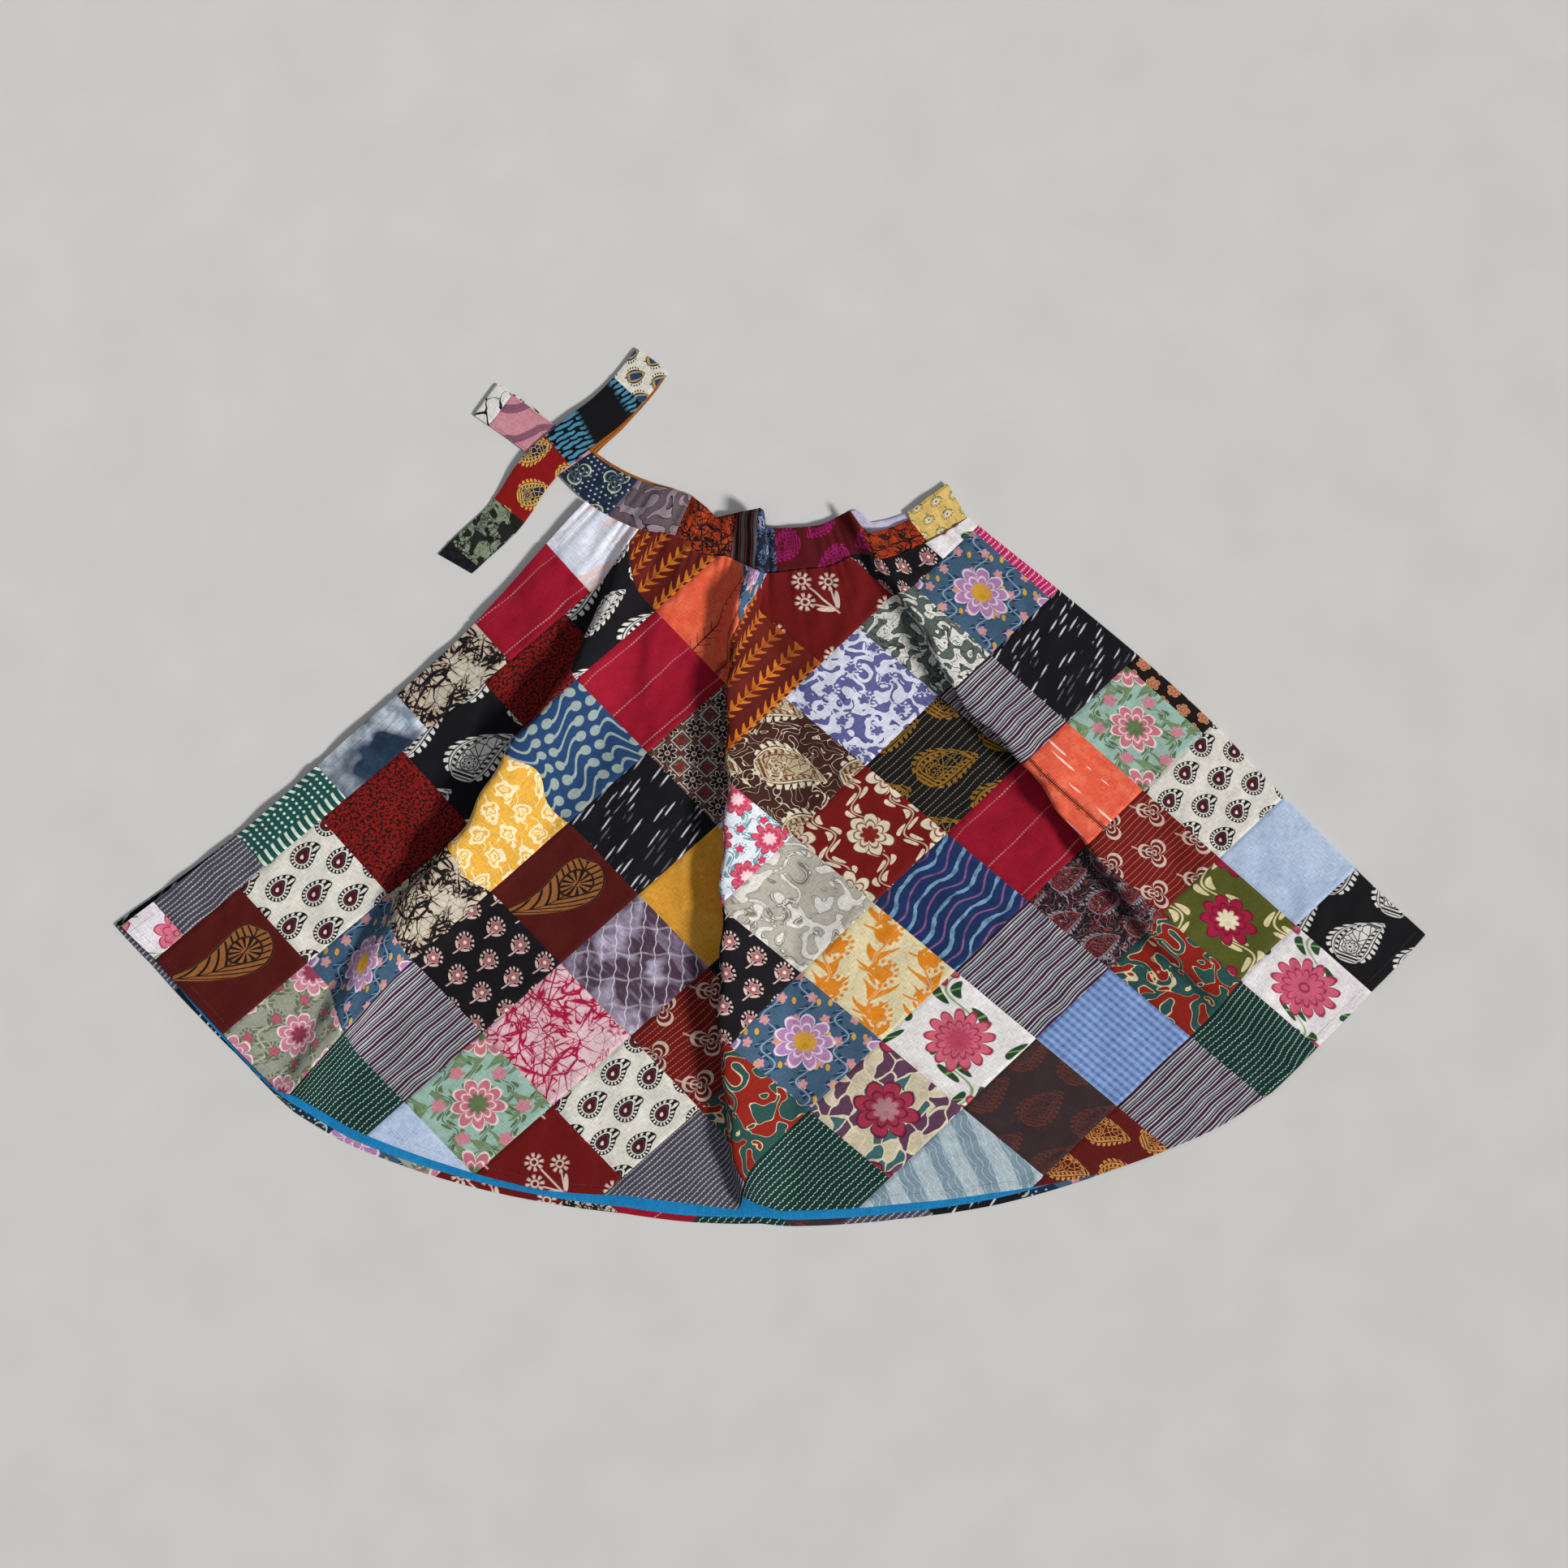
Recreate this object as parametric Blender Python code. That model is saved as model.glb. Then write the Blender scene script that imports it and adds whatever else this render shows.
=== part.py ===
"""A patchwork wrap skirt laid flat, front side up, seen from straight above.

The skirt is a quarter of a circle. Its front panel lies on its back panel, which is
the same cloth wrapped round the right edge, inside up. Every outline is given by its
distance from the apex, the point where the two sides of the sector would meet, at an
angle from straight down, positive to the right. +X is right, +Y is up, +Z leaves the
floor, and the middle of the laid garment is at the origin.
"""

import math

import bmesh
import bpy
import numpy as np

# Driving dimensions, in metres
MM = 0.001
CLOTH = 0.0016
BAND_CLOTH = 0.0024
FACING_CLOTH = 0.0011
GAP = 0.0003
FACING_GAP = 0.0004
SEAM_GAP = 0.0005
TIE_WIDTH = 0.050
TIE_CLOTH = 0.0015
FACING_WIDTH = 0.045
TURNED_EDGE = 0.0085
APEX_X, APEX_Y = -0.0137, 0.5845

# Ends of the band and the facing, in degrees
BAND_END = -55.3
BAND_SLANT = 3.1
FACING_LEFT, FACING_RIGHT = -46.6, 46.8

# Degrees by which the back panel shows past the wrap edge or lies under it, and the
# distances from the apex where one turns into the other
PEEK_OUT, TUCK_IN = 0.35, 0.5
PEEK_FROM, PEEK_OVER = 0.9, 0.2

# Heights of the layers, in metres
BACK_TOP = CLOTH
FACING_BASE = BACK_TOP + GAP
FRONT_BASE = FACING_BASE + FACING_CLOTH + FACING_GAP
FRONT_TOP = FRONT_BASE + CLOTH
BAND_TOP = BAND_CLOTH + GAP + BAND_CLOTH
ROLL = FRONT_TOP / 2
ROLL_RETURN = 0.0035

# How finely each panel is divided
RIDGE_CELLS = 12
PLAIN_CELLS = (4, 5, 7, 4)
ROLL_CELLS = 5
PANEL_ROWS = 20
BAND_ROWS, END_CELLS = 2, 3
BACK_CELLS, BACK_ROWS = 30, 20

# A row's distances are found by rounds that start from this distance
FIRST_REACH, ROUNDS = 0.3, 6

# Side edges of the front panel: mm from the apex, degrees of the left and right edge
SIDES = (
    (300, -46.8, 48.2),
    (520, -44.9, 49.4),
    (720, -45.7, 49.5),
    (900, -46.2, 48.5),
    (1050, -46.9, 48.0),
    (1180, -47.6, 47.9),
)

# Waist seam: degrees, mm to the seam, mm to the band's top, mm to the back band's top
WAIST = (
    (-55.3, 318, 268, 264),
    (-47.0, 313, 256, 252),
    (-38.0, 304, 243, 239),
    (-30.0, 294, 231, 229),
    (-24.0, 283, 226, 228),
    (-18.0, 292, 234, 240),
    (-14.0, 293, 243, 246),
    (-8.0, 291, 232, 246),
    (-3.0, 306, 226, 246),
    (3.0, 308, 238, 247),
    (8.0, 307, 252, 255),
    (17.0, 312, 257, 260),
    (24.0, 311, 254, 258),
    (28.5, 331, 292, 279),
    (34.0, 337, 300, 288),
    (39.0, 343, 306, 297),
    (49.0, 356, 308, 310),
)

# Hem: degrees, mm to the front hem, mm to the back hem
HEM = (
    (-47.5, 1127, 1133),
    (-44.0, 1125, 1134),
    (-39.5, 1135, 1143),
    (-35.7, 1148, 1153),
    (-32.6, 1160, 1167),
    (-31.2, 1152, 1173),
    (-27.3, 1155, 1176),
    (-21.5, 1148, 1168),
    (-14.4, 1141, 1157),
    (-9.0, 1126, 1150),
    (-5.0, 1126, 1151),
    (-1.6, 1131, 1150),
    (-0.2, 1112, 1149),
    (1.6, 1132, 1153),
    (9.0, 1137, 1157),
    (15.0, 1148, 1165),
    (22.5, 1170, 1171),
    (30.0, 1182, 1170),
    (34.0, 1180, 1168),
    (38.0, 1167, 1158),
    (43.0, 1158, 1150),
    (48.0, 1156, 1148),
)

# Folds that run from the waist to the hem. Each row: mm from the apex, degrees of the
# fold's overhanging edge, its height, how far it leans to the left, its half width
LEFT_FOLD = (
    (290, -32.0, 3, 0, 26),
    (370, -30.5, 13, 10, 36),
    (450, -29.6, 25, 27, 42),
    (620, -31.0, 34, 42, 50),
    (760, -31.2, 34, 42, 52),
    (880, -32.0, 22, 22, 54),
    (1010, -31.8, 15, 10, 52),
    (1180, -31.6, 9, 3, 44),
)
CENTRE_FOLD = (
    (290, -5.5, 20, -14, 27),
    (360, -5.6, 26, 2, 32),
    (450, -5.2, 32, 34, 40),
    (640, -4.2, 34, 42, 48),
    (880, -3.4, 32, 40, 50),
    (1040, -2.0, 26, 28, 48),
    (1180, 0.0, 12, 10, 40),
)
RIGHT_FOLD = (
    (310, 26.0, 10, -4, 24),
    (380, 28.2, 19, 12, 32),
    (510, 28.4, 31, 36, 44),
    (640, 31.0, 36, 44, 52),
    (760, 32.4, 34, 40, 52),
    (900, 33.0, 22, 22, 52),
    (1040, 35.1, 13, 9, 50),
    (1180, 37.0, 5, 2, 42),
)
FOLDS = (LEFT_FOLD, CENTRE_FOLD, RIGHT_FOLD)

# Soft waves between the folds: degrees of the crest, height in mm, width in degrees,
# mm from the apex where it starts and ends
WAVES = (
    (-41.0, 2.5, 4.0, 280, 520),
    (-19.5, 7.0, 4.5, 270, 560),
    (-14.0, 4.0, 3.5, 480, 900),
    (12.0, 4.5, 5.0, 300, 620),
    (19.0, 3.5, 4.0, 620, 1100),
    (42.0, 3.0, 3.5, 420, 900),
)

# Ties: mm right of the apex, mm above it, mm from the floor to the ribbon's middle,
# degrees of the ribbon's length there
FRONT_TIE = (
    (-241.6, -166.0, 3.9, 124.7),
    (-262, -150, 3.9, 140),
    (-291, -131, 3.6, 143),
    (-325, -106.5, 3.0, 143.6),
    (-349, -89, 2.9, 143.6),
    (-355.5, -84.2, 2.8, 143.6),
    (-357.2, -82.8, 1.85, 143.6),
    (-355.0, -83.0, 0.95, 142),
    (-347, -88.5, 0.9, 142),
    (-324, -105, 0.9, 142),
    (-303, -120, 0.9, 142),
)
BACK_TIE = (
    (-222, -126, 0.9, 44),
    (-201, -107, 0.9, 45),
    (-180, -83, 0.9, 48),
    (-158, -58, 0.9, 50),
    (-143.5, -38, 0.95, 52),
    (-141.0, -34.5, 1.9, 53),
    (-143.5, -35, 2.85, 53),
    (-162, -58, 3.0, 50),
    (-184, -82, 3.1, 46),
    (-205, -103, 4.0, 43),
    (-227, -120, 5.4, 40),
    (-247, -135.5, 6.2, 38),
    (-266, -150, 6.2, 40),
    (-284, -167, 6.0, 45),
    (-301, -189, 4.9, 50),
    (-316, -212, 3.0, 54),
    (-335, -236, 1.2, 50),
    (-356, -257, 0.9, 45),
    (-377, -277, 0.9, 46),
    (-397, -296, 0.9, 60),
)


def column(table, index, scale=1.0):
    """One named column of a table, as an array."""
    return np.array([row[index] for row in table]) * scale


def smooth(table, index, place, scale=1.0):
    """A column read between its rows by a cubic whose slopes join the next rows."""
    knots = column(table, 0)
    values = column(table, index, scale)
    slopes = np.gradient(values, knots)
    place = np.clip(place, knots[0], knots[-1])
    cell = np.clip(np.searchsorted(knots, place) - 1, 0, len(knots) - 2)
    step = knots[cell + 1] - knots[cell]
    t = (place - knots[cell]) / step
    rise = values[cell + 1] - values[cell]
    ahead = slopes[cell] * step - rise
    behind = rise - slopes[cell + 1] * step
    return values[cell] + t * rise + t * (1 - t) * ((1 - t) * ahead + t * behind)


def plain(table, index, place, scale=1.0):
    """A column read between its rows by straight lines."""
    return np.interp(place, column(table, 0), column(table, index, scale))


def on_floor(reach, degrees):
    """The point at a distance from the apex and an angle from straight down."""
    angle = np.radians(degrees)
    return APEX_X + reach * np.sin(angle), APEX_Y - reach * np.cos(angle)


def fold_places(reach):
    """For each fold: its base's middle in degrees and its half width in degrees.

    The middle lies right of the overhanging edge, by the lean and a tenth of the
    half width.
    """
    places = []
    for fold in FOLDS:
        lean = np.abs(smooth(fold, 3, reach / MM, MM))
        half = smooth(fold, 4, reach / MM, MM)
        middle = smooth(fold, 1, reach / MM) + np.degrees((lean + half / 10) / reach)
        places.append((middle, np.degrees(half / reach)))
    return places


def column_angles(reach):
    """Degrees of every column of the front panel at a distance from the apex.

    Columns are close together across each fold and spread evenly between folds.
    """
    left = smooth(SIDES, 1, reach / MM)
    right = smooth(SIDES, 2, reach / MM) - np.degrees(ROLL / reach)
    places = fold_places(reach)
    starts = [left] + [middle + half for middle, half in places]
    ends = [middle - half for middle, half in places] + [right]
    angles = []
    for index, (start, end) in enumerate(zip(starts, ends)):
        cells = PLAIN_CELLS[index]
        angles += [start + (end - start) * i / cells for i in range(cells)]
        if index < len(places):
            middle, half = places[index]
            angles += [middle + half * (2 * i / RIDGE_CELLS - 1) for i in range(RIDGE_CELLS)]
    return np.array(angles + [right])


def raise_cloth(reach, degrees, reading):
    """How far the cloth stands up and leans to the left, in metres.

    A fold's height is a raised cosine across its base, and its lean follows the same
    curve, so the crest hangs over the foot of its left side. A wave only stands up.
    """
    height = np.zeros_like(degrees)
    lean = np.zeros_like(degrees)
    for fold, (middle, half) in zip(FOLDS, fold_places(reading)):
        across = np.clip((degrees - middle) / half, -1, 1)
        crest = 0.5 * (1 + np.cos(math.pi * across))
        height += smooth(fold, 2, reading / MM, MM) * crest
        lean += smooth(fold, 3, reading / MM, MM) * crest
    for crest_at, tall, wide, begins, ends in WAVES:
        along = np.clip((reach / MM - begins) / (ends - begins), 0, 1)
        across = np.exp(-(((degrees - crest_at) / wide) ** 2))
        height += tall * MM * across * np.sin(math.pi * along) ** 2
    return height, lean


def standing(reach, degrees, base, reading):
    """Points of the raised cloth as an array of x, y, z."""
    height, lean = raise_cloth(reach, degrees, reading)
    x, y = on_floor(reach, degrees)
    angle = np.radians(degrees)
    return np.stack([x - lean * np.cos(angle), y - lean * np.sin(angle), base + height], axis=-1)


def material(name, colour, roughness):
    """A woven cotton finish of one colour."""
    made = bpy.data.materials.new(name)
    made.use_nodes = True
    shader = made.node_tree.nodes["Principled BSDF"]
    shader.inputs["Base Color"].default_value = (*colour, 1)
    shader.inputs["Roughness"].default_value = roughness
    shader.inputs["Metallic"].default_value = 0
    return made


def closed_wall(name, outer, inner, finish):
    """A closed body between two grids of points that share their layout."""
    rows, cols = outer.shape[:2]
    points = np.concatenate([outer.reshape(-1, 3), inner.reshape(-1, 3)])
    index = np.arange(rows * cols).reshape(rows, cols)
    under = index + rows * cols
    faces = []
    for r in range(rows - 1):
        for c in range(cols - 1):
            a, b, d, e = index[r, c], index[r, c + 1], index[r + 1, c + 1], index[r + 1, c]
            faces.append((a, e, d, b))
            a, b, d, e = under[r, c], under[r, c + 1], under[r + 1, c + 1], under[r + 1, c]
            faces.append((a, b, d, e))
    rim = list(index[0, :]) + list(index[1:, -1]) + list(index[-1, -2::-1]) + list(index[-2:0:-1, 0])
    for here, there in zip(rim, rim[1:] + rim[:1]):
        faces.append((here, there, there + rows * cols, here + rows * cols))
    mesh = bpy.data.meshes.new(name)
    mesh.from_pydata(points.tolist(), [], [tuple(int(v) for v in face) for face in faces])
    mesh.materials.append(finish)
    mesh.update()
    mesh.shade_smooth()
    mesh.set_sharp_from_angle(angle=math.radians(50))
    body = bpy.data.objects.new(name, mesh)
    bpy.context.scene.collection.objects.link(body)
    return body


def grid_normals(points):
    """The unit normal of a grid of points, up where the grid lies flat."""
    down_rows = np.gradient(points, axis=0)
    along_cols = np.gradient(points, axis=1)
    normal = np.cross(down_rows, along_cols)
    return normal / np.linalg.norm(normal, axis=-1, keepdims=True)


def front_panel():
    """The patchwork front with its three folds, rolled over at the right edge."""
    share = np.linspace(0, 1, PANEL_ROWS + 1)[:, None]
    count = sum(PLAIN_CELLS) + RIDGE_CELLS * len(FOLDS) + 1
    reach = np.full((PANEL_ROWS + 1, count), FIRST_REACH)
    for _ in range(ROUNDS):
        angles = np.stack([column_angles(reach[:, i])[i] for i in range(count)], axis=1)
        seam = smooth(WAIST, 1, angles, MM) + SEAM_GAP
        hem = plain(HEM, 1, angles, MM)
        reach = seam + share * (hem - seam)
    top = standing(reach, angles, FRONT_TOP, reach)
    edge_reach, edge_angle = reach[:, -1], angles[:, -1]
    roll = []
    for step in range(1, ROLL_CELLS + 1):
        turn = math.pi * step / ROLL_CELLS
        outward = ROLL * math.sin(turn)
        x, y = on_floor(edge_reach, edge_angle)
        along = np.radians(edge_angle)
        height = np.full_like(x, ROLL + ROLL * math.cos(turn))
        roll.append(np.stack([x + outward * np.cos(along), y + outward * np.sin(along), height], -1))
    inward = roll[-1].copy()
    inward[:, 0] -= ROLL_RETURN * np.cos(along)
    inward[:, 1] -= ROLL_RETURN * np.sin(along)
    outer = np.concatenate([top, np.stack(roll + [inward], axis=1)], axis=1)
    inner = outer - CLOTH * grid_normals(outer)
    inner[:, -1, 2] = outer[:, -1, 2] + CLOTH
    return closed_wall("front_panel", outer, inner, material("patchwork", (0.32, 0.05, 0.05), 0.85))


def back_edges(reach):
    """Degrees of the back panel's left and right edges.

    The left edge is tucked in near the waist and peeks out near the hem, and the right
    edge meets the end of the front panel's roll.
    """
    left = smooth(SIDES, 1, reach / MM)
    left -= PEEK_OUT * np.clip((reach - PEEK_FROM) / PEEK_OVER, 0, 1)
    left += TUCK_IN * np.clip((PEEK_FROM - reach) / PEEK_OVER, 0, 1)
    right = smooth(SIDES, 2, reach / MM) - np.degrees((ROLL + ROLL_RETURN + SEAM_GAP) / reach)
    return left, right


def back_grid():
    """Distances and degrees of the back panel's points, seam row first."""
    share = np.linspace(0, 1, BACK_ROWS + 1)[:, None]
    across = np.linspace(0, 1, BACK_CELLS + 1)[None, :]
    reach = np.full((BACK_ROWS + 1, BACK_CELLS + 1), FIRST_REACH)
    for _ in range(ROUNDS):
        left, right = back_edges(reach)
        angles = left + across * (right - left)
        seam = smooth(WAIST, 1, angles, MM) + SEAM_GAP
        reach = seam + share * (plain(HEM, 2, angles, MM) - seam)
    return reach, angles


def back_panel():
    """The back of the skirt, flat on the floor with its inside up."""
    x, y = on_floor(*back_grid())
    bottom = np.stack([x, y, np.zeros_like(x)], axis=-1)
    top = bottom + np.array([0, 0, CLOTH])
    return closed_wall("back_panel", top, bottom, material("lining_side", (0.03, 0.035, 0.07), 0.9))


def hem_facing():
    """The bright facing sewn inside the back hem, on the back panel."""
    angles = np.linspace(FACING_LEFT, FACING_RIGHT, 2 * BACK_CELLS + 1)
    edge = plain(HEM, 2, angles, MM) - TURNED_EDGE
    x, y = on_floor(edge - FACING_WIDTH * np.array([[1], [0]]), angles)
    bottom = np.stack([x, y, np.full_like(x, FACING_BASE)], axis=-1)
    top = bottom + np.array([0, 0, FACING_CLOTH])
    return closed_wall("hem_facing", top, bottom, material("facing", (0.012, 0.22, 0.52), 0.85))


def end_slant(angles, share):
    """Degrees by which the band's right end leans out, from its seam to its top."""
    return BAND_SLANT * share * np.clip((angles - 40) / 8, 0, 1)


def band_columns():
    """Degrees along the waist seam: the band's free end, then the panel's columns."""
    count = sum(PLAIN_CELLS) + RIDGE_CELLS * len(FOLDS) + 1
    reach = np.full(count, FIRST_REACH)
    for _ in range(ROUNDS):
        angles = np.array([column_angles(reach[i : i + 1])[i, 0] for i in range(count)])
        reach = smooth(WAIST, 1, angles, MM) + SEAM_GAP
    return np.concatenate([np.linspace(BAND_END, angles[0], END_CELLS + 1)[:-1], angles])


def waistband():
    """The front waistband, which stands up where the folds begin."""
    angles = band_columns()
    share = np.linspace(1, 0, BAND_ROWS + 1)[:, None]
    seam = smooth(WAIST, 1, angles, MM) - SEAM_GAP / 2
    reach = seam + share * (smooth(WAIST, 2, angles, MM) - seam)
    reading = np.broadcast_to(seam + SEAM_GAP * 1.5, reach.shape)
    top = standing(reach, angles + end_slant(angles, share), BAND_TOP, reading)
    inner = top - BAND_CLOTH * grid_normals(top)
    return closed_wall("waistband_front", top, inner, material("band", (0.30, 0.06, 0.03), 0.85))


def back_waistband():
    """The back waistband, whose inside shows where the front band dips."""
    reach, angles = back_grid()
    free = np.linspace(BAND_END + 0.4, angles[0, 0], END_CELLS + 1)[:-1]
    angles = np.concatenate([free, angles[0]])
    share = np.linspace(1, 0, BAND_ROWS + 1)[:, None]
    seam = smooth(WAIST, 1, angles, MM) - SEAM_GAP
    reach = seam + share * (smooth(WAIST, 3, angles, MM) - seam)
    x, y = on_floor(reach, angles + end_slant(angles, share))
    bottom = np.stack([x, y, np.zeros_like(x)], axis=-1)
    top = bottom + np.array([0, 0, BAND_CLOTH])
    return closed_wall("waistband_back", top, bottom, material("band_inside", (0.55, 0.52, 0.64), 0.85))


def tie(name, route, finish):
    """A flat ribbon carried along its route, as wide as a tie all the way.

    Where it turns back under itself it keeps its heading, so it folds straight over.
    """
    table = np.array(route)
    path = table[:, :3] * MM + np.array([APEX_X, APEX_Y, 0])
    heading = np.radians(table[:, 3])
    across = np.stack([-np.sin(heading), np.cos(heading), np.zeros_like(heading)], axis=1)
    run = np.gradient(path, axis=0)
    run -= across * np.sum(run * across, axis=1, keepdims=True)
    run /= np.linalg.norm(run, axis=1, keepdims=True)
    middle = np.stack([path - across * TIE_WIDTH / 2, path + across * TIE_WIDTH / 2], axis=1)
    lift = (np.cross(run, across) * TIE_CLOTH / 2)[:, None, :]
    return closed_wall(name, middle + lift, middle - lift, finish)


def face_outwards(body):
    """Turn every face of a closed body outwards."""
    shape = bmesh.new()
    shape.from_mesh(body.data)
    bmesh.ops.recalc_face_normals(shape, faces=shape.faces)
    shape.to_mesh(body.data)
    shape.free()


def build():
    """Make every piece of the skirt in an empty scene."""
    for item in list(bpy.data.objects):
        bpy.data.objects.remove(item)
    pieces = [
        front_panel(),
        back_panel(),
        hem_facing(),
        waistband(),
        back_waistband(),
        tie("tie_front", FRONT_TIE, material("tie_rose", (0.52, 0.26, 0.30), 0.85)),
        tie("tie_back", BACK_TIE, material("tie_red", (0.35, 0.03, 0.02), 0.85)),
    ]
    for piece in pieces:
        face_outwards(piece)


build()
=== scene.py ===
# %% [markdown]
# # A patchwork wrap skirt, laid flat
# The real skirt is a long wrap of square cotton patches, sewn in slanting strips, with
# a pieced waistband and two ties. It lies on its back panel with the front side up, and
# three deep folds run down the front. Each piece below is a surface worked out with
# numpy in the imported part's own frame: metres, +X to the right across the hem, +Y from
# the hem to the waist, +Z off the floor.

# %% Load the fixed frame
import math

import bmesh
import bpy
import numpy as np
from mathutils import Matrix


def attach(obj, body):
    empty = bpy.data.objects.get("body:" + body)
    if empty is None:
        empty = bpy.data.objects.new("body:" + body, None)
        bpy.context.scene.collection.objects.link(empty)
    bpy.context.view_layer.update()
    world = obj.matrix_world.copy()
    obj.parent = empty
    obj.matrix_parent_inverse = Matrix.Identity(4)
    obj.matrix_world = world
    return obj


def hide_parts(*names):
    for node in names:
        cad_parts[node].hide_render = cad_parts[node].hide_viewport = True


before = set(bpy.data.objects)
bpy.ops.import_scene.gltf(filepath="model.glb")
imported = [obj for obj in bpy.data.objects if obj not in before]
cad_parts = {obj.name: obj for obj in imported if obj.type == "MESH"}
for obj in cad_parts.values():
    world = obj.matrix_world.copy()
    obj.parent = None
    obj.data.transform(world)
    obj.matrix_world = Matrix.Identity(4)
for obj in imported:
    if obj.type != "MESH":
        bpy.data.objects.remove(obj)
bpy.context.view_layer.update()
MM = 0.001
print("solids in the frame:", ", ".join(sorted(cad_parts)))

# %% [markdown]
# ## Camera, light and floor
# The skirt is seen from straight overhead. A soft far light comes from the right and a
# little from the hem side, so each fold throws its shade to the left, and a large dim
# light overhead keeps the shade open. The far light is a sun lamp with a wide angle: its
# light doesn't fade with distance, so the pale matt floor looks even from every side.

# %% Place the camera overhead
def in_scene(name, data):
    """A new object of a mesh, a camera or a light, linked into the scene."""
    made = bpy.data.objects.new(name, data)
    bpy.context.scene.collection.objects.link(made)
    return made


VIEW_WIDTH, CAMERA_HEIGHT = 2.0286, 4.6
camera = in_scene("overhead camera", bpy.data.cameras.new("overhead camera"))
camera.data.angle = 2 * math.atan(VIEW_WIDTH / 2 / CAMERA_HEIGHT)
camera.location = (0.0147, 0.0039, CAMERA_HEIGHT)
bpy.context.scene.camera = camera
bpy.context.scene.view_settings.view_transform = "Standard"
print("camera", round(CAMERA_HEIGHT, 2), "m above the floor")


# %% Set soft studio lights
def soft_light(name, kind, place, power, tint):
    """A light at a place that looks at the skirt's middle."""
    lamp = bpy.data.lights.new(name, kind)
    lamp.energy, lamp.color = power, tint
    made = in_scene(name, lamp)
    made.location = x, y, z = place
    made.rotation_euler = math.atan2(math.hypot(x, y), z), 0, math.atan2(y, x) + math.pi / 2
    return lamp


soft_light("key light", "SUN", (5.6, -2.6, 3.9), 3.9, (1.0, 0.98, 0.95)).angle = math.radians(11)
soft_light("fill light", "AREA", (-0.8, 1.0, 4.4), 24, (0.93, 0.96, 1.0)).size = 3.4
world = bpy.data.worlds.new("studio")
world.use_nodes = True
sky = world.node_tree.nodes["Background"].inputs
sky["Color"].default_value, sky["Strength"].default_value = (0.9, 0.93, 1.0, 1), 0.20
bpy.context.scene.world = world
print("lights set")

# %% [markdown]
# ## Formulas in a node tree
# A printed cotton is drawn by arithmetic on the place in the cloth. Building that from
# loose nodes is hard to read, so `Value` wraps a socket and lets the motifs be written
# as ordinary sums, and `below` gives a soft-edged yes or no.


# %% Let sockets add and multiply
ROUND = 6.283


class Value:
    """A number in a node tree that adds, subtracts, multiplies and divides."""

    def __init__(self, tree, socket):
        self.tree, self.socket = tree, socket

    def __add__(self, other):
        return sum_of("ADD", self, other)

    def __sub__(self, other):
        return sum_of("SUBTRACT", self, other)

    def __rsub__(self, other):
        return sum_of("SUBTRACT", other, self)

    def __mul__(self, other):
        return sum_of("MULTIPLY", self, other)

    def __truediv__(self, other):
        return sum_of("DIVIDE", self, other)

    __radd__, __rmul__ = __add__, __mul__


def sum_of(operation, *terms, clamp=False):
    """One Math node on numbers and Values."""
    tree = next(term.tree for term in terms if isinstance(term, Value))
    node = tree.nodes.new("ShaderNodeMath")
    node.operation, node.use_clamp = operation, clamp
    for slot, term in zip(node.inputs, terms):
        if isinstance(term, Value):
            tree.links.new(term.socket, slot)
        else:
            slot.default_value = term
    return Value(tree, node.outputs[0])


print("a Value is one socket of a Math node")


# %% Name the sums the motifs need
def sine(x):
    """One wave for each ROUND of x."""
    return sum_of("SINE", x)


def size_of(x):
    """x without its sign."""
    return sum_of("ABSOLUTE", x)


def part_of(x):
    """What is left of x above the whole number below it."""
    return sum_of("FRACT", x)


def centred(x):
    """The same part, counted from the middle: from -0.5 to 0.5."""
    return part_of(x) - 0.5


def below(x, edge, soft=0.03):
    """1 where x is less than edge and 0 where it is more, with a soft step between."""
    return sum_of("MULTIPLY_ADD", sum_of("SUBTRACT", edge, x), 1 / soft, 0.5, clamp=True)


def near(x, width, soft=0.03):
    """1 where x lies within width of 0, with the same soft step."""
    return below(size_of(x), width, soft)


def reach_of(x, y):
    """How far a place lies from the middle of its repeat."""
    return sum_of("POWER", x * x + y * y, 0.5)


def bearing(y, x):
    """The angle of a place about the middle of its repeat, in radians."""
    return sum_of("ARCTAN2", y, x)


def either(*masks):
    """The greatest of some masks."""
    found = masks[0]
    for mask in masks[1:]:
        found = sum_of("MAXIMUM", found, mask)
    return found


print("sums named")


# %% Scatter noise and cells
def pair(x, y):
    """A vector socket of two Values."""
    node = x.tree.nodes.new("ShaderNodeCombineXYZ")
    x.tree.links.new(x.socket, node.inputs[0])
    x.tree.links.new(y.socket, node.inputs[1])
    return node.outputs[0]


def noise(x, y, scale=1.0, detail=2.0, bend=0.0):
    """Cloudy noise from 0 to 1 at a place."""
    node = x.tree.nodes.new("ShaderNodeTexNoise")
    node.noise_dimensions = "2D"
    x.tree.links.new(pair(x, y), node.inputs["Vector"])
    node.inputs["Scale"].default_value = scale
    node.inputs["Detail"].default_value = detail
    node.inputs["Distortion"].default_value = bend
    return Value(x.tree, node.outputs[0])


def cell_walls(x, y, scale):
    """Distance to the nearest wall between scattered cells."""
    node = x.tree.nodes.new("ShaderNodeTexVoronoi")
    node.voronoi_dimensions, node.feature = "2D", "DISTANCE_TO_EDGE"
    x.tree.links.new(pair(x, y), node.inputs["Vector"])
    node.inputs["Scale"].default_value = scale
    return Value(x.tree, node.outputs["Distance"])


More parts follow.
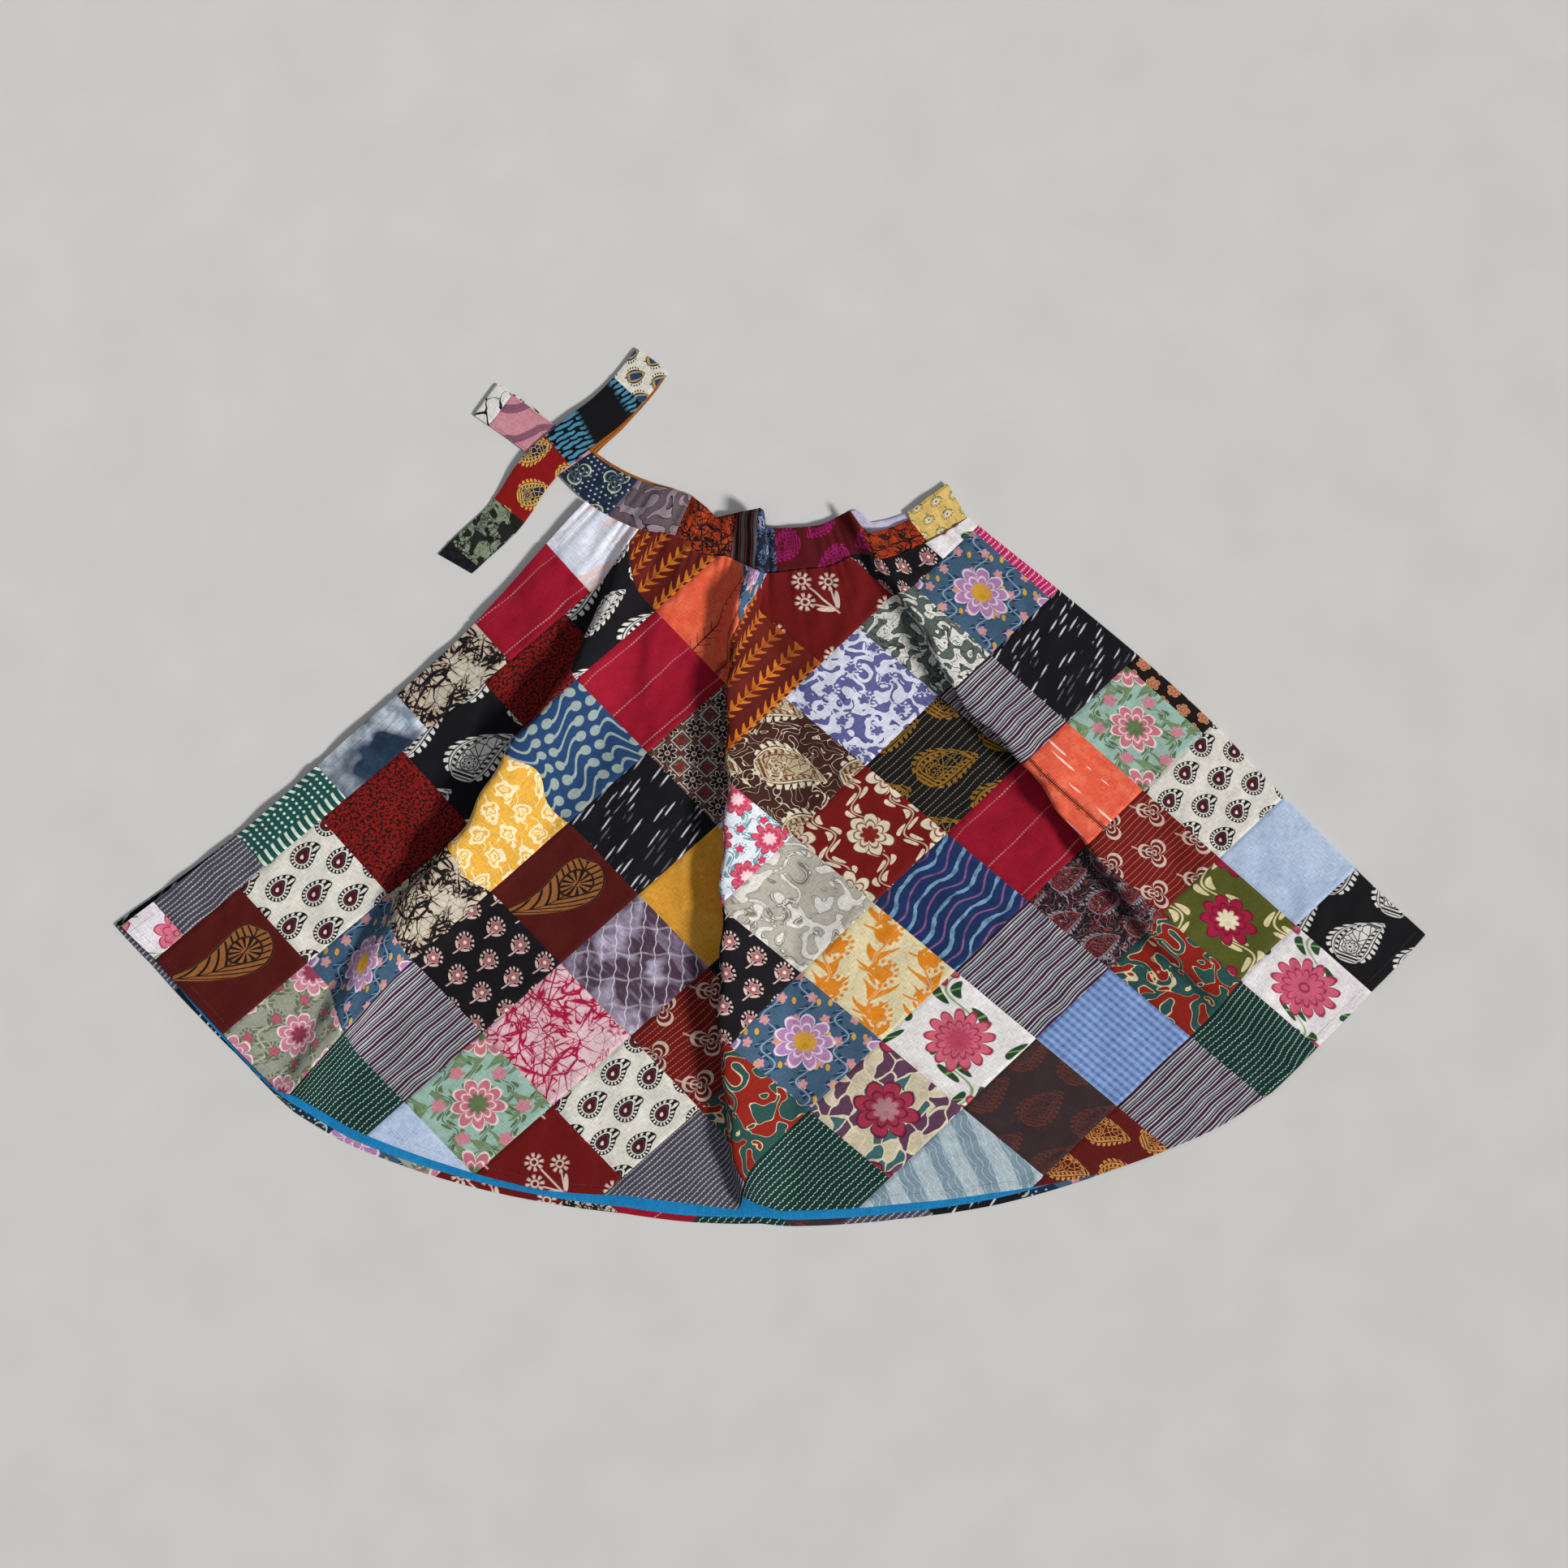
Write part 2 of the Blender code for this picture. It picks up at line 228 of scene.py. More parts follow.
def cell_chance(x, y, scale):
    """A number from 0 to 1 for each scattered cell."""
    node = x.tree.nodes.new("ShaderNodeTexVoronoi")
    node.voronoi_dimensions = "2D"
    x.tree.links.new(pair(x, y), node.inputs["Vector"])
    node.inputs["Scale"].default_value = scale
    split = x.tree.nodes.new("ShaderNodeSeparateXYZ")
    x.tree.links.new(node.outputs["Color"], split.inputs[0])
    return Value(x.tree, split.outputs[0])


def cells(u, v, drop=0.5):
    """Place from -0.5 to 0.5 inside a repeat whose every second row is shifted, and chance."""
    row = sum_of("FLOOR", v)
    u = u + part_of(row * 0.5) * (2 * drop)
    dice = u.tree.nodes.new("ShaderNodeTexWhiteNoise")
    dice.noise_dimensions = "2D"
    u.tree.links.new(pair(sum_of("FLOOR", u), row), dice.inputs["Vector"])
    return centred(u), centred(v), Value(u.tree, dice.outputs[0])


print("noise and cells ready")

# %% [markdown]
# ## Printed motifs
# Block prints, batik and ikat all repeat a few kinds of mark. Each kind is one shader
# group with the same sockets: the place in the cloth in metres, the size of the repeat,
# its turn, a sway that makes rows wander, and a shape number. It puts out three masks,
# the main mark, its line and its inner filling, which a fabric tints as it likes.


# %% Draw the lines and waves
def wander(u, v, repeat):
    """v moved aside by up to 2 mm of soft noise, as threads lie in creased cloth."""
    aside = noise(u * repeat * 16.0, v * repeat * 16.0, 1.0, 1.0) - 0.5
    return v + aside * sum_of("DIVIDE", 0.008, repeat)


def stripes(u, v, shape, repeat):
    """Lines along u: a band as wide as shape, two fine lines beside it, and one between."""
    at = part_of(wander(u, v, repeat))
    fine = either(near(at - 0.22, 0.06), near(at - 0.78, 0.06))
    return near(at - 0.5, shape * 0.5), fine, near(at - 0.04, 0.05)


def dashes(u, v, shape, repeat):
    """Running stitches: lines along u cut into a dash every 4 mm, each line in its own place."""
    v = wander(u, v, repeat)
    line = near(centred(v), shape * 0.5)
    shift = sine(sum_of("FLOOR", v) * 7.3) * 3.0
    run = near(centred(u * repeat * 240.0 + shift), 0.34, 0.12)
    return line * run, line, run


def waves(u, v, shape, repeat):
    """Gently wandering bands, a thin line wandering between them, and beads along that line."""
    at = v + sine(u * 1.7) * 0.22 + sine(u * 4.3 + 1.0) * 0.05
    other = centred(at + 0.5 + sine(u * 2.6) * 0.09)
    beads = near(centred(u * 5.0), 0.25) * near(other, 0.09)
    wide = shape * 0.5 + (noise(u, v * 2.0, 1.3, 2.0) - 0.5) * 0.22
    return near(centred(at), wide), near(other, 0.05), beads


print("lines and waves drawn")


# %% Draw the checks, tiles and rings
def check(u, v, shape, repeat):
    """A woven check: soft stripes both ways, their crossings, and single threads."""
    one = sine(u * ROUND) * 0.5 + 0.5
    two = sine(v * ROUND) * 0.5 + 0.5
    return below(0.5, one, 0.4) * 0.5 + below(0.5, two, 0.4) * 0.5, one * two, one


def tiles(u, v, shape, repeat):
    """A tile: an eight-pointed star round an eye, its petal outlines and frame, and corner squares."""
    x, y, _ = cells(u, v, 0.0)
    ax, ay = size_of(x), size_of(y)
    reach = reach_of(x, y)
    turn = bearing(y, x)
    wave = size_of(sine(turn * 4.0))
    star = below(reach, 0.15 + wave * 0.19) * below(0.09, reach)
    petal = near(reach - 0.17 - wave * 0.20, 0.022)
    frame_line = near(ax + ay - 0.62, 0.025)
    corner = below(0.40, sum_of("MINIMUM", ax, ay))
    lines = either(petal, frame_line, near(reach - 0.08, 0.02))
    return star, lines, either(corner, below(reach, 0.06))


def hooks(u, v, shape, repeat):
    """A row of curved strokes, two lines of beads on each side of it, and the row's edge.

    The row lies a little off the middle, as the wrap edge cuts its patch.
    """
    x = centred(v + 0.09)
    along = part_of(u * 7.4 + x * 1.5 + x * x * 5.5)
    bead, line = centred(u * 8.2), size_of(size_of(x) - 0.41) - 0.045
    beads = below(bead * bead + line * line * 67.0, 0.035, 0.03)
    return near(along - 0.5, 0.19) * near(x, 0.30), beads, below(0.49, size_of(x))


def reeds(u, v, shape, repeat):
    """Long wavering strokes with a round bulb at each end, a thin line between, and rows."""
    at = v + sine(u * 3.0) * 0.1
    x, row = centred(at), sum_of("FLOOR", at)
    held = sum_of("MINIMUM", sum_of("MAXIMUM", x, -0.24), 0.24)
    along = centred(u * 3.1 + sine(held * 7.0 + row * 2.1) * 0.7 + row * 0.4)
    end = size_of(x) - 0.34
    bulb = below(end * end * 75.0 + along * along * 9.0, 1.0, 0.3)
    neck = near(along, 0.12) * near(x, 0.34)
    return either(neck, bulb), below(0.46, size_of(along)), row


def rings(u, v, shape, repeat):
    """Ragged rings with a dot in each, and the lines that join them."""
    du = noise(u, v, 2.5, 1.0) * 0.5
    x, y, _ = cells(u + du, v + noise(v, u, 2.5, 1.0) * 0.5)
    reach = reach_of(x, y)
    return (near(reach - 0.29, 0.06), near(x - y, 0.04) * below(0.36, reach),
            near(reach - 0.1, 0.05))


print("checks, tiles and rings drawn")


# %% Draw the paisleys and drops
def drop_field(x, y, bend):
    """How deep a place lies in a drop whose half width is 0.62 sqrt(t) (1 - t)^0.75.

    t runs from the round end to the tip, which bends by the cube of t. The depth is 0 on
    the outline and 1 on the spine; t, the place off the spine and a mask come with it.
    """
    t = sum_of("MULTIPLY_ADD", y, 1.19, 0.5, clamp=True)
    off = x - (t * t * t * 0.42 - 0.07) * bend
    half = sum_of("POWER", t, 0.5) * sum_of("POWER", 1.0 - t, 0.75) * 0.62 + 0.001
    deep = sum_of("MINIMUM", 1.0 - size_of(off) / half, sum_of("MINIMUM", t * 2.4, (1.0 - t) * 3.0))
    return deep, t, off, below(0.0, deep, 0.05) * near(y, 0.42)


def paisley(u, v, shape, repeat):
    """A bent drop; its rim and outer fringe of leaves; the lines cut inside it round a rosette."""
    x, y, _ = cells(u, v)
    deep, t, off, inside = drop_field(x, y, shape)
    low = y + 0.15
    reach = reach_of(off, low)
    wave = size_of(sine(bearing(low, off) * 4.0))
    rosette = either(near(reach - 0.05 - wave * 0.035, 0.010, 0.01),
                     near(reach - 0.115, 0.008, 0.01), below(reach, 0.018, 0.01))
    between = below(0.15, deep, 0.04) * below(deep, 0.36, 0.04)
    between = between * below(0.0, sine(t * 64.0 + deep * 5.0), 0.6)
    core = below(0.42, deep, 0.04) * below(0.125, reach, 0.01)
    core = core * below(cell_walls(u, v, 9.0), 0.06, 0.04)
    rims = either(near(deep - 0.40, 0.035, 0.04), near(deep - 0.11, 0.03, 0.04))
    lines = inside * either(rims, between, core, rosette * below(0.36, deep, 0.1))
    fringe = below(-0.36, deep, 0.06) * below(deep, -0.08, 0.05) * near(y, 0.43)
    fringe = fringe * below(-1.0 - deep * 3.4, sine(t * 52.0 - deep * 7.0), 0.4)
    return inside, either(inside * below(deep, 0.10, 0.05), fringe), lines


def leaf_drop(u, v, shape, repeat):
    """A bent drop drawn as a leaf: its body, its veins and outline, and a rayed head."""
    x, y, _ = cells(u, v)
    deep, t, off, inside = drop_field(x, y, shape)
    low = y + 0.13
    reach = reach_of(off, low)
    rays = below(0.1, sine(bearing(low, off) * 12.0), 0.4)
    head = below(reach, 0.15, 0.01)
    veins = near(centred(t * 9.0 + size_of(off) * 11.0), 0.15, 0.08)
    lines = either(veins * (1.0 - head), rays * head * below(0.035, reach, 0.01),
                   near(reach - 0.155, 0.01, 0.01), near(off, 0.008, 0.01))
    lines = inside * either(lines * below(0.09, deep), below(deep, 0.07))
    return inside, lines, head


def buds(u, v, shape, repeat):
    """Hooked drops: the core; its outline and a dark rim set with pale beads; the whole drop.

    A drop is where reach / (1 + 0.3 cos(turn)^2 + 0.55 cos(turn)^12), which draws the tip
    out, stays below the size of its round end.
    """
    x, y, _ = cells(u, v)
    y = y + 0.11
    reach = reach_of(x, y)
    turn = bearing(x, y)
    ahead = sum_of("MAXIMUM", sum_of("COSINE", turn - reach * shape), 0.0)
    rise = reach / (ahead * ahead * 0.3 + sum_of("POWER", ahead, 12.0) * 0.55 + 1.0)
    ring = size_of(rise - 0.265) * 22.0
    beads = below(ring * ring - sine(turn * 17.0) * 0.9, 0.1, 0.4)
    rim = near(rise - 0.27, 0.055, 0.015) * (1.0 - beads)
    outline = near(rise - 0.165, 0.018, 0.012)
    core = below(rise, 0.150, 0.015) * below(0.045, rise, 0.015)
    return core, either(rim, outline), below(rise, 0.325)


def tulips(u, v, shape, repeat):
    """Small drops: the dark core, the outline and beads round them with a stalk, a pale ring."""
    x, y, _ = cells(u, v)
    deep, t, _, inside = drop_field(x, y, shape)
    rim = below(deep, 0.14, 0.08) * below(-0.10, deep, 0.05) * near(y, 0.41)
    crown = below(-0.60, deep, 0.08) * below(deep, -0.26, 0.08) * near(y, 0.43)
    crown = crown * below(0.0, sine(t * 46.0), 0.6) * below(t, 0.8)
    stalk = near(x - 0.02, 0.03) * below(0.38, size_of(y)) * below(y, 0.0)
    return below(0.46, deep, 0.08) * inside, either(rim, crown, stalk), inside


print("paisleys and drops drawn")


# %% Draw the flowers
def flower(u, v, shape, repeat):
    """A round flower with as many petals as shape, the line round each, and its heart."""
    x, y, chance = cells(u, v)
    reach = reach_of(x, y)
    turn = bearing(y, x) + chance * 6.0
    wave = size_of(sine(turn * shape * 0.5))
    edge = 0.19 + sum_of("POWER", wave, 0.5) * 0.17 + (noise(u, v, 5.0, 1.0) - 0.5) * 0.10
    petals = below(reach, edge)
    veins = below(wave * reach, 0.016, 0.02) * below(0.14, reach)
    inner = near(reach - edge * 0.62, 0.012, 0.02)
    line = either(near(reach - edge, 0.016, 0.02), veins * petals, inner)
    heart = below(reach, 0.10 + wave * 0.05)
    return petals, either(line, near(reach - 0.05, 0.012, 0.02)), heart


def posies(u, v, shape, repeat):
    """A petalled head on a curved stalk with two leaves; its lines and fringe; its eye."""
    x, y, chance = cells(u, v)
    x = x + y * y * 0.5 - 0.03
    high = y - 0.10
    reach = reach_of(x, high)
    turn = bearing(high, x) + chance * 2.0
    edge = 0.13 + size_of(sine(turn * 2.5)) * 0.08
    petals = below(reach, edge)
    ax = size_of(x)
    rise = y + 0.22 - ax * 0.7
    leaf = below((ax - 0.17) * (ax - 0.17) * 70.0 + rise * rise * 330.0, 1.0, 0.4)
    stalk = below(ax, 0.024) * below(y, 0.0) * below(-0.42, y)
    fringe = near(reach - 0.29, 0.045) * below(-0.06, high) * below(0.0, sine(turn * 13.0), 0.5)
    outline = near(reach - edge, 0.018)
    return petals, either(leaf, stalk, fringe, outline), below(reach, 0.06)


def puffs(u, v, shape, repeat):
    """Three dotted heads on one branching stalk, all in one mask; the heads; the stalks."""
    x, y, _ = cells(u, v)
    ax = size_of(x - 0.02)
    stalk = near(x, 0.012, 0.015) * near(y + 0.12, 0.26)
    arms = near(ax - (y + 0.32) * 0.62, 0.012, 0.015) * near(y + 0.18, 0.12)
    leaf = below((ax - 0.10) * (ax - 0.10) * 140.0 + (y + 0.33 - ax) * (y + 0.33 - ax) * 500.0, 1.0, 0.4)
    heads = None
    for across, up in ((0.0, 0.27), (-0.19, 0.04), (0.23, 0.02)):
        dx, dy = x - across, y - up
        reach = reach_of(dx, dy)
        spin = bearing(dy, dx)
        dots = near(reach - 0.095, 0.028) * below(-0.1, sine(spin * 8.0), 0.5)
        head = either(dots, near(reach - 0.045, 0.012, 0.015))
        heads = either(heads, head) if heads else head
    return either(heads, stalk, arms, leaf), heads, either(stalk, arms)


print("flowers drawn")


# %% Draw the leaves and stems
def spades(u, v, shape, repeat):
    """Three rounded leaves in a clover; rings inside them and a stalk; the outermost ring."""
    x, y, _ = cells(u, v)
    high = y - 0.05
    reach = reach_of(x, high)
    turn = bearing(high, x)
    wave = size_of(sine(turn * 1.5 + 0.785))
    edge = sum_of("POWER", wave, 0.45) * 0.36
    rise = reach / (edge + 0.01)
    leaves = below(rise, 1.0, 0.06)
    rings = near(centred(rise * 3.0), 0.16, 0.1) * leaves
    stalk = near(x + y * y * 0.3, 0.016) * below(y, 0.0) * below(-0.46, y)
    return leaves, either(rings, stalk), near(rise - 0.93, 0.06) * leaves


def sprays(u, v, shape, repeat):
    """Stems along u with paired slanting leaves as long as shape; the line is thin leaves."""
    x = centred(v)
    many = sum_of("DIVIDE", 0.5, shape)
    out = size_of(x) * many
    along = part_of(u * many * 2.4 + out * 1.5 + out * out * 2.4)
    length = below(out, 0.32 + sine(u * many * 2.1) * 0.05)
    leaf = near(along - 0.5, 0.33 - out * 0.8) * length * below(0.03, out)
    stem = below(out, 0.022)
    thin = near(along - 0.5, 0.045) * length
    return either(leaf, stem), either(thin, near(x, 0.007, 0.01)), stem


def vine(u, v, shape, repeat):
    """A wavy stem along u, pointed leaves on both its sides, and buds in its bends."""
    y = centred(v)
    off = y - sine(u * ROUND) * 0.2
    p = centred(u * 2.6 + off * 0.9)
    rise = size_of(off) - 0.13
    leaf = below(p * p * 9.0 + rise * rise * 180.0, 1.0, 0.3)
    rib = near(p, 0.03) * leaf
    q = centred(u + 0.25)
    bud = below(q * q * 90.0 + (size_of(y) - 0.34) * (size_of(y) - 0.34) * 260.0, 1.0, 0.3)
    return leaf, either(near(off, 0.02), rib), bud


print("leaves and stems drawn")


# %% Draw the cracks, clouds and strokes
def crackle(u, v, shape, repeat):
    """Wax cracks: fine fibres in three directions, heavier where noise is high; walls; a halo."""
    heavy = below(0.44, noise(u, v, 0.9, 1.0), 0.4)
    found, halo = None, None
    for turn, far in ((0.2, 0.0), (1.3, 3.7), (2.4, 8.1)):
        c, s = math.cos(turn), math.sin(turn)
        along, across = u * c + v * s, v * c - u * s
        gap = size_of(noise(along * 0.5 + far, across * 1.7 + far, 1.5, 2.0, 0.3) - 0.5)
        fibre = below(gap, 0.004 + heavy * 0.011 * shape, 0.012)
        found = either(found, fibre) if found else fibre
        halo = either(halo, below(gap, 0.05, 0.08)) if halo else below(gap, 0.05, 0.08)
    x = u + noise(u, v, 1.6, 3.0) * 0.6
    walls = below(cell_walls(x, v, 1.7), 0.006 + heavy * 0.03 * shape, 0.025)
    return either(found, walls), walls, halo * heavy


def mosaic(u, v, shape, repeat):
    """Scattered leaf cells: some of them, the walls between them, and some others."""
    x = u * 0.8 + noise(u, v, 1.5, 1.0) * 0.5
    y = v * 1.3 + noise(v, u, 1.5, 1.0) * 0.5
    chance = cell_chance(x, y, 2.2)
    walls = cell_walls(x, y, 2.2)
    return below(chance, 0.42, 0.01), below(walls, 0.06, 0.03), below(0.72, chance, 0.01)


def dye(u, v, shape, repeat):
    """Clouds of dye, streaks drawn along u, and a finer cloud."""
    cloud = below(shape, noise(u, v, 1.0, 3.0, 0.4), 0.16)
    streak = below(0.56, noise(u * 0.35, v * 2.4, 1.6, 3.0), 0.12)
    return cloud, streak, below(0.55, noise(u, v, 4.0, 3.0), 0.2)


def hatches(u, v, shape, repeat):
    """One line a repeat, at shape, of short upright hand stitches, bunched and of many lengths."""
    at = size_of(part_of(v) - shape)
    step = u * repeat * 380.0
    tall = noise(u, v, 14.0, 2.0) * 0.09 - 0.012
    ticks = near(centred(step), 0.24, 0.2) * below(at, tall, 0.012)
    return either(ticks, below(at, 0.006, 0.008)), ticks, below(at, 0.02)


def strokes(u, v, shape, repeat):
    """Long tapering strokes along u, close together in bunches 120 mm apart."""
    x, y, chance = cells(u * 0.20, v + (noise(u, v * 0.3, 0.35, 1.0) - 0.5) * 1.2, 0.5)
    bunch = near(centred(u * repeat / 0.12 + 0.10), 0.24, 0.06)
    wide = 0.34 - x * x * 0.9 + (noise(u * 2.0, v, 1.5, 2.0) - 0.5) * 0.25
    stroke = near(y, wide, 0.12) * near(x + (chance - 0.5) * 0.2, 0.44, 0.05)
    return stroke * (1.0 - bunch), stroke, bunch


def ikat(u, v, shape, repeat):
    """Long feathered dashes along u, in loose bunches, many missing and a few of them faint."""
    x, y, chance = cells(u * 0.5, v * 2.2, 0.37)
    ragged = (noise(u * 1.5, v * 22.0, 1.0, 2.0) - 0.5) * 0.8
    spot = below(size_of(x) + ragged + size_of(y) * 0.7, 0.36, 0.14) * near(y, 0.17, 0.1)
    chance = chance * 0.6 + noise(u * 0.3, v * 0.5, 1.0, 1.0) * 0.7 - 0.15
    return spot * below(shape, chance, 0.05), spot * below(chance, 0.25, 0.05), spot


print("cracks, clouds and strokes drawn")


# %% Draw the scrolls and specks
def scrolls(u, v, shape, repeat):
    """Carved scroll shapes: where bent noise passes shape, their outline, and hatching."""
    field = noise(u, v, 1.3, 0.6, 1.4)
    other = noise(v, u, 2.3, 0.5, 1.0)
    return (below(shape, field, 0.02), near(field - shape, 0.018, 0.015),
            near(other - 0.5, 0.025, 0.02))


def speckle(u, v, shape, repeat):
    """Small ragged specks, a finer set, and scattered dots."""
    x, y, chance = cells(u * 3.0, v * 3.0)
    dot = below(x * x + y * y, 0.04, 0.02)
    return (below(shape, noise(u, v, 7.0, 2.0), 0.03), below(shape, noise(v, u, 13.0, 1.0), 0.03),
            dot * below(0.45, chance, 0.05))


print("scrolls and specks drawn")

# %% Make a shader group of each motif
SETTINGS, MASKS = ("Size", "Turn", "Sway", "Shape"), ("Main", "Line", "Inner")


def new_group(name, inputs, outputs):
    """A shader group with sockets of given kinds, its two ends, and the x and y of its Place."""
    tree = bpy.data.node_groups.new(name, "ShaderNodeTree")
    for way, sockets in (("INPUT", inputs), ("OUTPUT", outputs)):
        for label, kind in sockets.items():
            tree.interface.new_socket(label, in_out=way, socket_type="NodeSocket" + kind)
    given, result = tree.nodes.new("NodeGroupInput"), tree.nodes.new("NodeGroupOutput")
    split = tree.nodes.new("ShaderNodeSeparateXYZ")
    tree.links.new(given.outputs["Place"], split.inputs[0])
    return tree, given, result, Value(tree, split.outputs[0]), Value(tree, split.outputs[1])


MOTIFS = {}
for draw in (stripes, dashes, waves, check, tiles, hooks, reeds, rings, paisley, leaf_drop, buds,
             tulips, flower, posies, puffs, spades, sprays, vine, crackle, mosaic, dye, hatches, strokes,
             ikat, scrolls, speckle):
    tree, given, result, x, y = new_group(
        "motif " + draw.__name__, {"Place": "Vector", **dict.fromkeys(SETTINGS, "Float")},
        dict.fromkeys(MASKS, "Float"))
    repeat, turn, sway, form = (Value(tree, given.outputs[k]) for k in SETTINGS)
    c, s = sum_of("COSINE", turn), sum_of("SINE", turn)
    u, v = (x * c + y * s) / repeat + 0.5, (y * c - x * s) / repeat + 0.5
    v = v + sine(u * ROUND) * sway
    for label, mask in zip(MASKS, draw(u, v, form, repeat)):
        tree.links.new(mask.socket, result.inputs[label])
    MOTIFS[draw.__name__] = tree
print("motif groups:", len(MOTIFS))

# %% [markdown]
# ## Cotton cloth
# Under every print lies plain-woven cotton. Its threads vary in thickness, which shows as
# fine streaks both ways, and it has faded and creased a little unevenly. One shared group
# adds that to a print's colour and gives the cloth its roughness and its thread relief.

# %% Weave the cotton group
weave, given, result, x, y = new_group(
    "cotton weave", {"Colour": "Color", "Place": "Vector", "Streaks": "Float"},
    {"Colour": "Color", "Roughness": "Float", "Height": "Float"})
threads = noise(x * 90.0, y * 700.0, 1.0, 1.0) + noise(y * 90.0, x * 700.0, 1.0, 1.0)
faded = noise(x * 22.0, y * 22.0, 1.0, 3.0)
tone = (threads - 1.0) * Value(weave, given.outputs["Streaks"]) + (faded - 0.5) * 0.22 + 1.0
shade = weave.nodes.new("ShaderNodeVectorMath")
shade.operation = "SCALE"
weave.links.new(given.outputs["Colour"], shade.inputs[0])
weave.links.new(tone.socket, shade.inputs["Scale"])
weave.links.new(shade.outputs[0], result.inputs["Colour"])
weave.links.new((0.86 + (threads - 1.0) * 0.12).socket, result.inputs["Roughness"])
creases = noise(x * 45.0, y * 45.0, 1.0, 4.0, 0.6)
weave.links.new((threads * 0.25 + creases * 0.75).socket, result.inputs["Height"])
print("cotton weave group ready")

# %% [markdown]
# ## The fabrics
# The patches, bands and ties are offcuts of some seventy cottons. Each is a ground colour
# with a few printed layers on it: the kind of motif, the repeat in millimetres, the turn in
# degrees, the sway, the shape number, how much ink there is, and the ink of each mask. The
# motifs are plain traditional kinds, drawn by the formulas above.


# %% List the fabrics
def ink(kind, repeat, turn=0, sway=0.0, shape=0.5, share=1.0, **inks):
    """The layers of one motif: its masks in the order given, each with its ink."""
    return [(kind, mask, colour, repeat, turn, sway, shape, share) for mask, colour in inks.items()]


